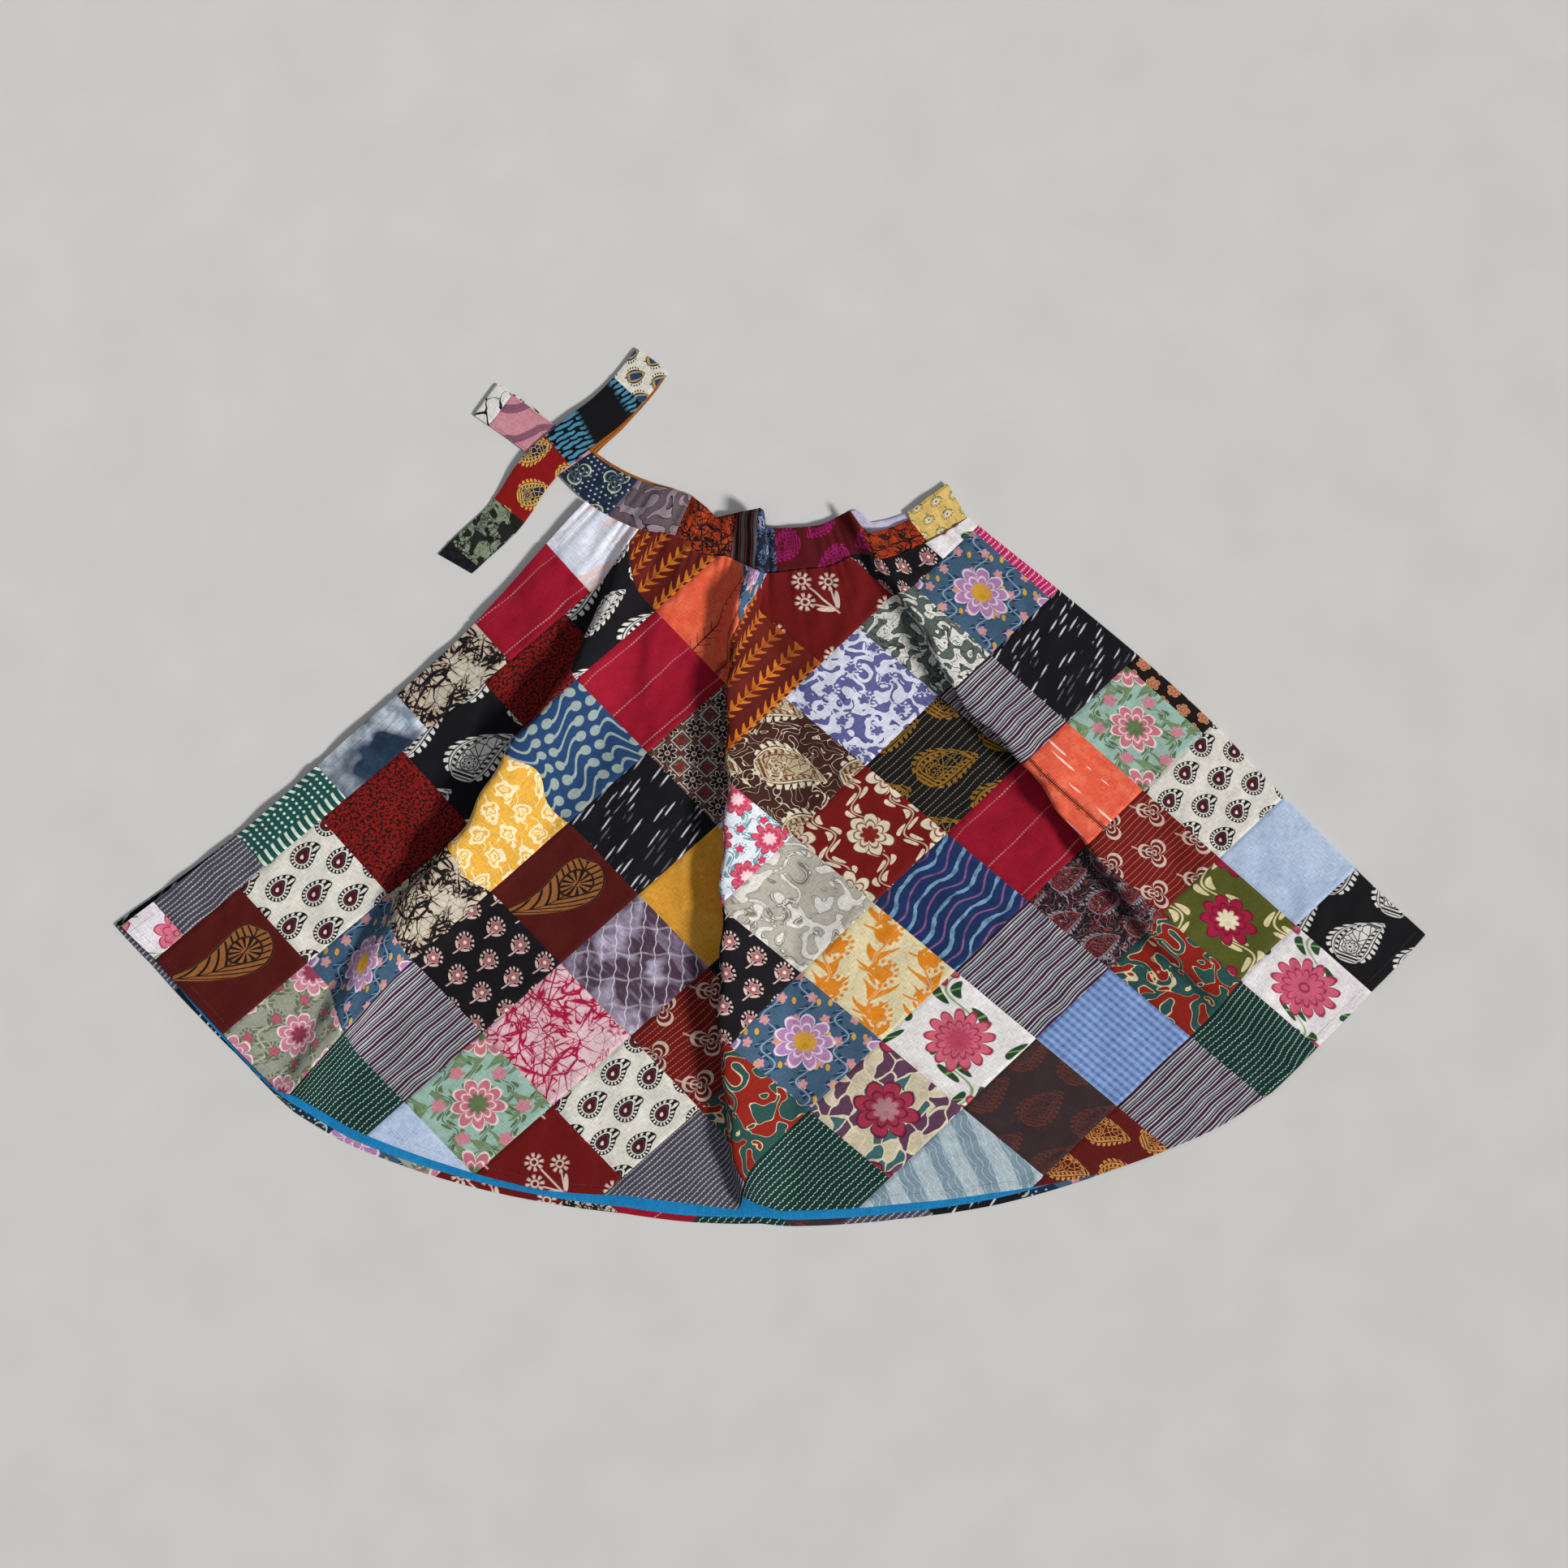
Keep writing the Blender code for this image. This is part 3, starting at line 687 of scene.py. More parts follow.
FABRICS = {
    "white streaked": ("DADDE8", ink("dye", 52, -10, share=0.45, Line="E8A27E"),
        ink("dye", 80, share=0.35, Main="B9C1D8")),
    "crimson lined": ("8E0822", ink("dashes", 54, shape=0.022, share=0.75, Main="D9A9A4"),
        ink("dye", 60, share=0.5, Main="9A0D2A")),
    "cream crackle": ("C0B7A6", ink("crackle", 40, 20, shape=2.7, share=0.9, Inner="8F5C30"),
        ink("crackle", 40, 20, shape=2.7, Main="100D11")),
    "indigo cloud": ("C9D2DC", ink("dye", 60, 10, share=0.7, Line="7E93A8"),
        ink("dye", 120, 60, shape=0.45, Main="1C2D42"), ink("dye", 90, share=0.5, Inner="33475F")),
    "teal leaf waves": ("164A48", ink("hooks", 80, Main="CFDCC8", Line="CFDCC8")),
    "grey pinstripe": ("413F4A", ink("stripes", 6.4, 0, 0.03, Main="5E5C66"),
        ink("dashes", 6.4, 0, 0.03, shape=0.16, Main="C2C0C6")),
    "pink blossom": ("E2DCE2", ink("flower", 76, 20, shape=7.0, Main="D9748A", Line="A8294A"),
        ink("vine", 80, 30, Line="6F8A5B")),
    "ochre sprays": ("54120B", ink("sprays", 31, Main="C2701A"),
        ink("dye", 70, share=0.5, Main="6A1A10")),
    "black paisley": ("0F0D13",
        ink("paisley", 92, 118, shape=1.0, Main="D8D6D1", Line="D8D6D1", Inner="131017")),
    "red speckle": ("86100C", ink("speckle", 26, shape=0.54, Main="1C0B0C"),
        ink("speckle", 40, shape=0.6, share=0.7, Line="2A0C0C")),
    "cream buds": ("D8D5CA", ink("buds", 46, 130, shape=1.3, Line="0E0A10", Main="480C18")),
    "maroon leaf paisley": ("4C0E0A",
        ink("leaf_drop", 124, -62, shape=1.6, Main="8F5A2E", Line="1B0C0B")),
    "blue floral": ("3D5870", ink("vine", 44, 40, Main="1C3350", Line="8FA6B8", Inner="C79A3C"),
        ink("posies", 33, 70, Main="BF8798", Inner="C79A3C"),
        ink("flower", 104, 10, shape=9.0, Main="A87BA8", Line="DCCBD6", Inner="C9972E")),
    "orange twig": ("D8573A", ink("dye", 90, share=0.3, Inner="E8805A"),
        ink("sprays", 128, 4, shape=0.12, Line="2A0C08"),
        ink("hatches", 128, shape=0.87, Main="2A0C08")),
    "blue leaf waves": ("1F3E66", ink("reeds", 60, 70, Main="8F9D98")),
    "yellow rings": ("D8A43E",
        ink("rings", 33, 20, share=0.8, Main="EBE0BE", Line="EBE0BE", Inner="E9DFBB")),
    "sage floral": ("96988A", ink("vine", 44, 35, Main="6D7657", Line="C3C5AE"),
        ink("posies", 38, 110, Main="B55A6E", Line="5E6A4B"),
        ink("flower", 82, 40, shape=8.0, Main="C97F92", Line="EFDAD8", Inner="8E3A50")),
    "black posies": ("0E0B11", ink("posies", 39, 100, Line="CDAFA8", Main="9C5F62", Inner="E6CFC8")),
    "red sprigs": ("660A0A", ink("puffs", 96, 180, Main="D2BCB0")),
    "star tile": ("4E2E2A", ink("scrolls", 16, Line="8B8174"),
        ink("tiles", 34, 45, Main="100D12", Line="C6BEB0", Inner="7E1D18")),
    "black ikat": ("0E0D13", ink("ikat", 15, 12, shape=0.61, Main="C4C8D0"),
        ink("ikat", 15, 12, shape=0.61, share=0.7, Line="5F636E")),
    "grey stripe": ("AEACB3",
        ink("stripes", 16, shape=0.22, Main="380F2B", Line="121017", Inner="121017")),
    "green dashes": ("0A2F2A", ink("dashes", 7.6, 0, 0.06, shape=0.17, Main="A9BDB2")),
    "white peony": ("E0DADC", ink("vine", 92, 20, Main="24492C", Line="8AA069"),
        ink("flower", 128, 50, shape=13.0, Main="CC5A74", Line="93294A")),
    "grey scroll": ("CFCEC7", ink("scrolls", 30, 20, Main="56605B", Line="343C39"),
        ink("scrolls", 30, 20, shape=0.44, Line="DDDCD4"), ink("scrolls", 30, 20, Inner="343C39")),
    "violet ornament": ("D2D3E2", ink("scrolls", 26, shape=0.52, Main="5C5E92", Line="4A4C84"),
        ink("posies", 40, Main="5C5E92", Line="D2D3E2")),
    "brown paisley": ("3A1C18",
        ink("paisley", 96, 62, shape=1.1, Main="A8977A", Line="CFC4AC", Inner="5C3416"),
        ink("scrolls", 24, Line="C9BDA4")),
    "white red floral": ("D6DAE4", ink("vine", 40, 70, Main="6F9BA2", Line="4F7F8A"),
        ink("posies", 27, 40, Line="6F9BA2", Main="C23A58"),
        ink("flower", 58, 15, shape=9.0, Main="C8506A", Line="9C1A34", Inner="E9C3CB")),
    "ochre plain": ("CE902C", ink("dye", 90, share=0.4, Main="DCA548")),
    "purple dye": ("4C3846", ink("dye", 62, 90, shape=0.56, Main="B7AEC4"),
        ink("dye", 44, 90, share=0.7, Line="8E7E97"),
        ink("stripes", 17, 45, 0.05, share=0.75, Inner="D8D2DC"),
        ink("stripes", 34, -45, 0.05, share=0.4, Inner="C9C0D0"),
        ink("dye", 45, share=0.35, Inner="3E2A45")),
    "pink crackle": ("DDBFC5", ink("crackle", 56, 30, shape=1.5, share=0.8, Inner="D0708C"),
        ink("crackle", 56, 30, shape=1.5, Main="A0103A")),
    "mint floral": ("94B3A8", ink("vine", 40, 60, Main="5F7248", Line="41563A"),
        ink("sprays", 62, 140, 0.08, Main="6E8560"), ink("posies", 48, 20, Main="C47F8C"),
        ink("flower", 96, 45, shape=9.0, Main="BF6E7E", Line="E7D3CB", Inner="5C7048")),
    "pale blue plain": ("A8BAD6", ink("dye", 60, share=0.5, Main="BDCBE1"),
        ink("stripes", 5, share=0.3, Line="C2CFE3")),
    "pink lined": ("B01A56", ink("stripes", 14, shape=0.4, Main="C83A70"),
        ink("dashes", 7, shape=0.22, Main="E6B9CC")),
    "black gold": ("12100D", ink("dashes", 8.6, shape=0.1, share=0.7, Main="A8A090"),
        ink("paisley", 84, 100, shape=0.9, Line="8E6418", Inner="8E6418")),
    "red cream flowers": ("6E0D0C", ink("vine", 50, 62, Main="D8C9B0", Line="C9B49A"),
        ink("flower", 84, 25, shape=7.0, Main="D8C9B0", Line="5E1712", Inner="7C1D14")),
    "beige ornament": ("CFCDC6", ink("scrolls", 34, Main="A8A498", Line="77736A"),
        ink("scrolls", 34, shape=0.44, Line="77736A")),
    "red leaf dashes": ("680E0D", ink("dashes", 7.4, shape=0.13, share=0.75, Main="BE7F60"),
        ink("spades", 62, 40, Main="5C1210", Line="BFA99C", Inner="BFA99C")),
    "black orange motifs": ("180E0C", ink("flower", 26, shape=5.0, Main="A8603F", Line="D8A884")),
    "navy waves": ("182F5E", ink("waves", 27, 8, shape=0.17, Main="7AA0BC", Line="86587F"),
        ink("dye", 60, share=0.5, Inner="142548")),
    "orange flowers": ("DCCFA6", ink("sprays", 62, 35, 0.1, Main="D9821E"),
        ink("posies", 58, 35, Main="D9821E", Line="D9821E"),
        ink("crackle", 40, share=0.5, Line="C7A56A")),
    "teal red wavy": ("244A46", ink("scrolls", 40, Main="861C10", Line="CDBE98")),
    "navy paisley": ("12121A", ink("scrolls", 17, Line="8C8A92", Inner="7E2C28"),
        ink("paisley", 54, 100, shape=0.7, Line="8C8A92", Inner="7A2A2A")),
    "pink tulips": ("E2DFDE", ink("vine", 92, 40, Main="24452A", Line="7D9A5E"),
        ink("flower", 118, 60, shape=13.0, Main="CC5F74", Line="932A48", Inner="B84562")),
    "plum floral": ("C9BDA2", ink("mosaic", 46, 20, Main="5B3A52", Inner="3E6468", Line="D6CBB0"),
        ink("flower", 112, 30, shape=8.0, Main="9E2F48", Line="5C1430", Inner="A8787E")),
    "olive floral": ("4E521C", ink("vine", 76, 60, Line="DCCDA0"),
        ink("vine", 76, 60, share=0.9, Main="DCCDA0"),
        ink("flower", 106, 30, shape=9.0, Main="9C143A", Line="6A0C28", Inner="E0D6B8")),
    "blue check": ("5573B0", ink("check", 9.6, share=0.6, Main="8CA8D6"),
        ink("check", 9.6, share=0.3, Inner="B0C4E4")),
    "dark tone paisley": ("36272A", ink("paisley", 68, 118, shape=0.9, Line="5A3026", Inner="5A3026")),
    "blue grey broad": ("7C92A0", ink("stripes", 44, 65, share=0.8, Main="B2C0C7"),
        ink("waves", 9, 65, share=0.5, Line="DDE3E5")),
    "red ochre paisley": ("5C120D", ink("paisley", 62, 60, shape=0.9, Line="BE8A48", Inner="BE8A48")),
    "navy leaf dots": ("18263D", ink("speckle", 21, Inner="A9B4BC"),
        ink("spades", 50, 150, Inner="B4C0A4"), ink("spades", 50, 150, share=0.35, Line="7F8E7C")),
    "taupe blobs": ("5E5056", ink("scrolls", 38, shape=0.54, Main="8B7B83", Line="1E141A")),
    "rust crackle": ("962E0E", ink("dye", 30, share=0.5, Main="B8421A"),
        ink("crackle", 30, shape=1.8, Main="120909")),
    "dark stripe": ("19161E", ink("stripes", 9, 90, shape=0.3, Main="67626A"),
        ink("stripes", 9, 90, Line="8C3A32")),
    "navy circles": ("121626", ink("rings", 34, Main="33425F", Inner="77839E"),
        ink("posies", 30, Line="4F5F80")),
    "magenta paisley": ("500810", ink("paisley", 58, 92, shape=0.9, Line="93125E", Inner="93125E")),
    "yellow cherries": ("D8B56C", ink("posies", 19, 20, Line="5C7A35", Main="D8CFBE", Inner="A81812")),
    "lavender": ("BEB8D2", ink("dye", 40, share=0.4, Main="CEC9DE")),
    "facing blue": ("1076AE", ink("dye", 70, share=0.4, Main="1A86C0")),
    "olive batik": ("1E2019", ink("scrolls", 26, 30, shape=0.47, Main="7F8D74"),
        ink("crackle", 30, shape=1.0, Main="101008"), ink("dye", 30, share=0.5, Line="2A2038")),
    "red ornament": ("840D0E",
        ink("paisley", 54, 140, shape=0.4, Main="1C2344", Line="D0A64C", Inner="D0A64C")),
    "black teal ikat": ("07080B", ink("strokes", 6.6, 12, Main="4787A4")),
    "black plain": ("0C0C11", ink("dye", 40, Inner="191922")),
    "tulip buds": ("D5D2C4",
        ink("tulips", 30, 128, shape=0.1, Inner="A98C56", Line="17151C", Main="223E66")),
    "rose mauve": ("C68892", ink("waves", 40, 36, shape=0.26, share=0.85, Main="74495F")),
    "white crackle": ("D4D3CB", ink("crackle", 40, shape=2.0, Line="0E0E12")),
    "grey thread": ("4A4750", ink("dye", 12, Inner="706C76")),
    "brown thread": ("6A3A1E", ink("dye", 12, Inner="3A1A10")),
    "black thread": ("151218", ink("dye", 12, Inner="3A363E")),
    "pale thread": ("D2CDC0", ink("dye", 12, Inner="AFA898")),
    "blue thread": ("5FB4DC", ink("dye", 12, Inner="2C86B8")),
    "coral stitched": ("D8573E", ink("dye", 80, share=0.4, Inner="E8805F"),
        ink("hatches", 128, -90, shape=0.68, Main="2A0A08"),
        ink("ikat", 22, 90, shape=0.66, share=0.8, Main="F0DCD2")),
    "ochre woven": ("A05E1A", ink("stripes", 9, Line="6A370F")),
}
print("fabrics listed:", len(FABRICS))


# %% Dye and print the cottons
def linear(code):
    """Linear light of a six-figure colour code, as red, green, blue and 1."""
    parts = np.array([int(code[k:k + 2], 16) for k in (0, 2, 4)]) / 255
    parts = np.where(parts < 0.04045, parts / 12.92, ((parts + 0.055) / 1.055) ** 2.4)
    return (*parts.tolist(), 1.0)


def print_cloth(tree, place, name):
    """The colour socket of a fabric: its ground with each layer of ink mixed over it."""
    ground, *motifs = FABRICS[name]
    start = tree.nodes.new("ShaderNodeRGB")
    start.outputs[0].default_value = linear(ground)
    colour, made = start.outputs[0], {}
    for kind, mask, code, repeat, turn, sway, shape, share in sum(motifs, []):
        key = (kind, repeat, turn, sway, shape)
        if key not in made:
            made[key] = tree.nodes.new("ShaderNodeGroup")
            made[key].node_tree = MOTIFS[kind]
            for label, value in zip(SETTINGS, (repeat * MM, math.radians(turn), sway, shape)):
                made[key].inputs[label].default_value = value
            tree.links.new(place, made[key].inputs["Place"])
        mix = tree.nodes.new("ShaderNodeMix")
        mix.data_type = "RGBA"
        amount = Value(tree, made[key].outputs[mask])
        tree.links.new((amount * share if share < 1 else amount).socket, mix.inputs["Factor"])
        tree.links.new(colour, mix.inputs["A"])
        mix.inputs["B"].default_value = linear(code)
        colour = mix.outputs["Result"]
    return colour


# How strongly threads streak the colour, how high they stand in metres, and their shine
STREAKS, THREAD_RELIEF, DULL = 0.5, 0.0007, 0.18


def cotton(name):
    """The material of one fabric, read from the cloth's own map."""
    made = bpy.data.materials.get(name)
    if made:
        return made
    made = bpy.data.materials.new(name)
    made.use_nodes = True
    tree = made.node_tree
    shader = tree.nodes["Principled BSDF"]
    place = tree.nodes.new("ShaderNodeUVMap")
    place.uv_map = "cloth"
    woven = tree.nodes.new("ShaderNodeGroup")
    woven.node_tree = weave
    woven.inputs["Streaks"].default_value = STREAKS
    tree.links.new(place.outputs[0], woven.inputs["Place"])
    tree.links.new(print_cloth(tree, place.outputs[0], name), woven.inputs["Colour"])
    bump = tree.nodes.new("ShaderNodeBump")
    bump.inputs["Distance"].default_value = THREAD_RELIEF
    bump.inputs["Strength"].default_value = 0.6
    tree.links.new(woven.outputs["Height"], bump.inputs["Height"])
    tree.links.new(woven.outputs["Colour"], shader.inputs["Base Color"])
    tree.links.new(woven.outputs["Roughness"], shader.inputs["Roughness"])
    tree.links.new(bump.outputs[0], shader.inputs["Normal"])
    shader.inputs["Sheen Weight"].default_value = 0.03
    shader.inputs["Sheen Roughness"].default_value = 0.5
    shader.inputs["Specular IOR Level"].default_value = DULL
    return made


print("cotton materials are made as the pieces ask for them")

# %% [markdown]
# ## The laid shape
# The garment is a quarter of a circle about an apex above the waist. Its edges, its three
# folds and its soft waves are tables of distances from the apex and degrees from straight
# down, the same numbers that the solid part is built from, read between their rows by a
# cubic. A fold is a raised cosine that leans to the left, so its crest hangs over its foot.

# %% Measure the garment
# Thickness of the panels, the doubled bands, the ties and the facing
CLOTH, BAND_CLOTH, TIE_CLOTH, FACING_CLOTH = 0.0016, 0.0024, 0.0015, 0.0011
# How far in from its edges each of them thins towards its edge
PANEL_EDGE, BAND_EDGE, TIE_EDGE, FACING_THIN = 0.0012, 0.0026, 0.0022, 0.002
TIE_WIDTH, FACING_WIDTH, SEAM_GAP = 0.050, 0.045, 0.0005
APEX_X, APEX_Y = -0.0137, 0.5845
# Degrees of the band's free end, how far its other end slants, and the facing's two ends
BAND_END, BAND_SLANT = -55.3, 3.1
FACING_LEFT, FACING_RIGHT = -46.6, 46.8
# Height of the front panel's top, the band's top and the facing's underside
FRONT_TOP, BAND_TOP, FACING_LIFT = 0.0050, 0.0051, 0.0019
# Radius of the roll at the right edge, the flat turn below it, and that turn's share of a mark
ROLL, ROLL_RETURN, RETURN_MARK = FRONT_TOP / 2, 0.0035, 0.4
# Radii that turn degrees into lengths along the band and along the facing
BAND_RADIUS, FACING_RADIUS = 0.29, 1.15
# How many times distances and degrees are worked out from each other, and the first guess
SETTLING, FIRST_REACH = 7, 0.3
# A mark before any cloth, where a row of pieces begins, and one past all of it
BEGIN, BEYOND = -9, 99

# Side edges of the front panel: mm from the apex, degrees of the left and right edge
SIDES = (
    (300, -46.8, 48.2), (520, -44.9, 49.4), (720, -45.7, 49.5), (900, -46.2, 48.5),
    (1050, -46.9, 48.0), (1180, -47.6, 47.9),
)

# Waist seam: degrees, mm from the apex
WAIST_CORNER = 356
WAIST = (
    (-55.3, 318), (-47.0, 313), (-38.0, 304), (-30.0, 294), (-24.0, 283), (-18.0, 292),
    (-14.0, 293), (-8.0, 291), (-3.0, 306), (3.0, 308), (8.0, 307), (17.0, 312),
    (24.0, 311), (28.5, 331), (34.0, 337), (39.0, 343), (49.0, WAIST_CORNER),
)

# Hem: degrees, mm to the front hem, mm to the back hem
HEM = (
    (-47.5, 1127, 1133), (-44.0, 1125, 1134), (-39.5, 1135, 1143), (-35.7, 1148, 1153),
    (-32.6, 1160, 1167), (-31.2, 1152, 1173), (-27.3, 1155, 1176), (-21.5, 1148, 1168),
    (-14.4, 1141, 1157), (-9.0, 1126, 1150), (-5.0, 1126, 1151), (-1.6, 1131, 1150),
    (-0.2, 1112, 1149), (1.6, 1132, 1153), (9.0, 1137, 1157), (15.0, 1148, 1165),
    (22.5, 1170, 1171), (30.0, 1182, 1170), (34.0, 1180, 1168), (38.0, 1167, 1158),
    (43.0, 1158, 1150), (48.0, 1156, 1148),
)

# Folds that run from the waist to the hem. Each row: mm from the apex, degrees of the
# fold's overhanging edge, its height, how far it leans to the left, its half width
LEFT_FOLD = (
    (290, -32.0, 3, 0, 26), (370, -30.5, 13, 10, 36), (450, -29.6, 25, 27, 42),
    (620, -31.0, 34, 42, 50), (760, -31.2, 34, 42, 52), (880, -32.0, 22, 22, 54),
    (1010, -31.8, 15, 10, 52), (1180, -31.6, 9, 3, 44),
)
CENTRE_FOLD = (
    (290, -5.5, 20, -14, 27), (360, -5.6, 26, 2, 32), (450, -5.2, 32, 34, 40),
    (640, -4.2, 34, 42, 48), (880, -3.4, 32, 40, 50), (1040, -2.0, 26, 28, 48),
    (1180, 0.0, 12, 10, 40),
)
RIGHT_FOLD = (
    (310, 26.0, 10, -4, 24), (380, 28.2, 19, 12, 32), (510, 28.4, 31, 36, 44),
    (640, 31.0, 36, 44, 52), (760, 32.4, 34, 40, 52), (900, 33.0, 22, 22, 52),
    (1040, 35.1, 13, 9, 50), (1180, 37.0, 5, 2, 42),
)
FOLDS = (LEFT_FOLD, CENTRE_FOLD, RIGHT_FOLD)
# The crests waver: by which share of their lean, in two lengths of wave, and each its own way
WAVER, WAVER_LENGTHS, WAVER_STARTS = 0.125, (0.019, 0.045), (0.4, 2.1, 4.0)

# Soft waves between the folds: degrees of the crest, height in mm, width in degrees,
# mm from the apex where it starts and ends
WAVES = (
    (-41.0, 2.5, 4.0, 280, 520), (-19.5, 7.0, 4.5, 270, 560), (-14.0, 4.0, 3.5, 480, 900),
    (12.0, 4.5, 5.0, 300, 620), (19.0, 3.5, 4.0, 620, 1100), (42.0, 3.0, 3.5, 420, 900),
)

# Ties: mm right of the apex, mm above it, mm from the floor to the ribbon's middle,
# degrees of the ribbon's length there
FRONT_TIE = (
    (-241.6, -166.0, 3.9, 124.7), (-262, -150, 3.9, 140), (-291, -131, 3.6, 143),
    (-325, -106.5, 3.0, 143.6), (-349, -89, 2.9, 143.6), (-355.5, -84.2, 2.8, 143.6),
    (-357.2, -82.8, 1.85, 143.6), (-355.0, -83.0, 0.95, 142), (-347, -88.5, 0.9, 142),
    (-324, -105, 0.9, 142), (-303, -120, 0.9, 142),
)
BACK_TIE = (
    (-234, -138, 0.9, 44), (-222, -126, 0.9, 44), (-201, -107, 0.9, 45), (-180, -83, 0.9, 48),
    (-158, -58, 0.9, 50), (-143.5, -38, 0.95, 52), (-141.0, -34.5, 1.9, 53),
    (-143.5, -35, 2.85, 53), (-162, -58, 3.0, 50), (-184, -82, 3.1, 46), (-205, -103, 4.0, 43),
    (-227, -120, 5.4, 40), (-247, -135.5, 6.2, 38), (-266, -150, 6.2, 40), (-284, -167, 6.0, 45),
    (-301, -189, 4.9, 50), (-316, -212, 3.0, 54), (-335, -236, 1.2, 50), (-356, -257, 0.9, 45),
    (-377, -277, 0.9, 46), (-397, -296, 0.9, 60),
)
print("front panel from", HEM[0][0], "to", HEM[-1][0], "degrees about the apex")


# %% Read the tables and raise the cloth
def column(table, index, scale=1.0):
    """One column of a table, as an array."""
    return np.array([row[index] for row in table]) * scale


def smooth(table, index, place, scale=1.0):
    """A column read between its rows by a cubic whose slopes join the next rows."""
    knots = column(table, 0)
    values = column(table, index, scale)
    slopes = np.gradient(values, knots)
    place = np.clip(place, knots[0], knots[-1])
    cell = np.clip(np.searchsorted(knots, place) - 1, 0, len(knots) - 2)
    step = knots[cell + 1] - knots[cell]
    t = (place - knots[cell]) / step
    rise = values[cell + 1] - values[cell]
    ahead = slopes[cell] * step - rise
    behind = rise - slopes[cell + 1] * step
    return values[cell] + t * rise + t * (1 - t) * ((1 - t) * ahead + t * behind)


def plain(table, index, place, scale=1.0):
    """A column read between its rows by straight lines."""
    return np.interp(place, column(table, 0), column(table, index, scale))


def on_floor(reach, degrees):
    """The point at a distance from the apex and an angle from straight down."""
    angle = np.radians(degrees)
    return APEX_X + reach * np.sin(angle), APEX_Y - reach * np.cos(angle)


def fold_places(reach):
    """For each fold, its base's middle and half width in degrees at a distance."""
    places = []
    for fold in FOLDS:
        lean = np.abs(smooth(fold, 3, reach / MM, MM))
        half = smooth(fold, 4, reach / MM, MM)
        middle = smooth(fold, 1, reach / MM) + np.degrees((lean + half / 10) / reach)
        places.append((middle, np.degrees(half / reach)))
    return places


def standing(reach, degrees, base, reading):
    """Raised cloth: each fold adds height h c and lean l c to the left, where
    c = (1 + cos(pi t)) / 2 across its base, and each wave adds a bell of height.
    A crest wavers as it runs down, by up to an eighth of its lean."""
    height, lean = np.zeros_like(degrees), np.zeros_like(degrees)
    short, long = WAVER_LENGTHS
    for fold, (middle, half), start in zip(FOLDS, fold_places(reading), WAVER_STARTS):
        crest = 0.5 * (1 + np.cos(math.pi * np.clip((degrees - middle) / half, -1, 1)))
        waver = 1 + WAVER * np.sin(reading / short + start) * np.sin(reading / long + 2 * start)
        height += smooth(fold, 2, reading / MM, MM) * crest
        lean += smooth(fold, 3, reading / MM, MM) * crest * waver
    for crest_at, tall, wide, begins, ends in WAVES:
        along = np.clip((reach / MM - begins) / (ends - begins), 0, 1)
        height += (tall * MM * np.exp(-(((degrees - crest_at) / wide) ** 2))
                   * np.sin(math.pi * along) ** 2)
    x, y = on_floor(reach, degrees)
    angle = np.radians(degrees)
    return np.stack([x - lean * np.cos(angle), y - lean * np.sin(angle), base + height], -1)


print("the garment's tables are read by cubics and lines")


# %% Measure directions and lengths
def unit(vectors):
    """Vectors with their length made 1."""
    return vectors / np.maximum(np.linalg.norm(vectors, axis=-1, keepdims=True), 1e-12)


def straight_up(points):
    """A normal along +Z for each point."""
    return np.broadcast_to([0.0, 0.0, 1.0], points.shape)


def length_along(path):
    """Metres from a path's start to each of its points."""
    return np.concatenate([[0], np.cumsum(np.linalg.norm(np.diff(path, axis=0), axis=1))])


def facing_up(surface, *marks, steps):
    """The unit normal of a surface from its slopes along its first two marks."""
    first, second = list(marks), list(marks)
    first[0] = marks[0] + steps[0]
    second[1] = marks[1] + steps[1]
    here = surface(*marks)
    return unit(np.cross(surface(*first) - here, surface(*second) - here))


print("directions and lengths ready")

# %% [markdown]
# ## Cutting cloth along its seams
# Each sewn strip is its own piece, and each patch in it its own fabric, so the mesh has to
# have an edge along every seam. A fine grid of the panel is laid out flat in patch
# coordinates, a along the strips and b across them, and cut with straight lines there. The
# grid carries its distance and degrees as attributes, which the cuts share out, and only
# then is every point lifted to its place on the laid garment. Extra cuts close beside the
# seams let the cloth dip into them.


# %% Cut a flat chart into fabrics
def flat_chart(chart, marks):
    """A flat mesh in chart coordinates whose points carry their marks."""
    rows, cols = chart.shape[:2]
    index = np.arange(rows * cols).reshape(rows, cols)
    quads = np.stack([index[:-1, :-1], index[1:, :-1], index[1:, 1:], index[:-1, 1:]], -1)
    points = np.concatenate([chart.reshape(-1, 2), np.zeros((rows * cols, 1))], axis=1)
    mesh = bpy.data.meshes.new("flat chart")
    mesh.from_pydata(points.tolist(), [], quads.reshape(-1, 4).tolist())
    for name, values in marks.items():
        layer = mesh.attributes.new(name, "FLOAT", "POINT")
        layer.data.foreach_set("value", np.ascontiguousarray(values, dtype=np.float32).ravel())
    return mesh


def cut(shape, axis, at, keep=None):
    """Cut a flat chart along the line where coordinate axis is at, keeping one side if told."""
    bmesh.ops.bisect_plane(
        shape, geom=shape.verts[:] + shape.edges[:] + shape.faces[:], dist=1e-5,
        plane_co=(at, at, 0), plane_no=(1, 0, 0) if axis == 0 else (0, 1, 0),
        clear_outer=keep == "below", clear_inner=keep == "above")


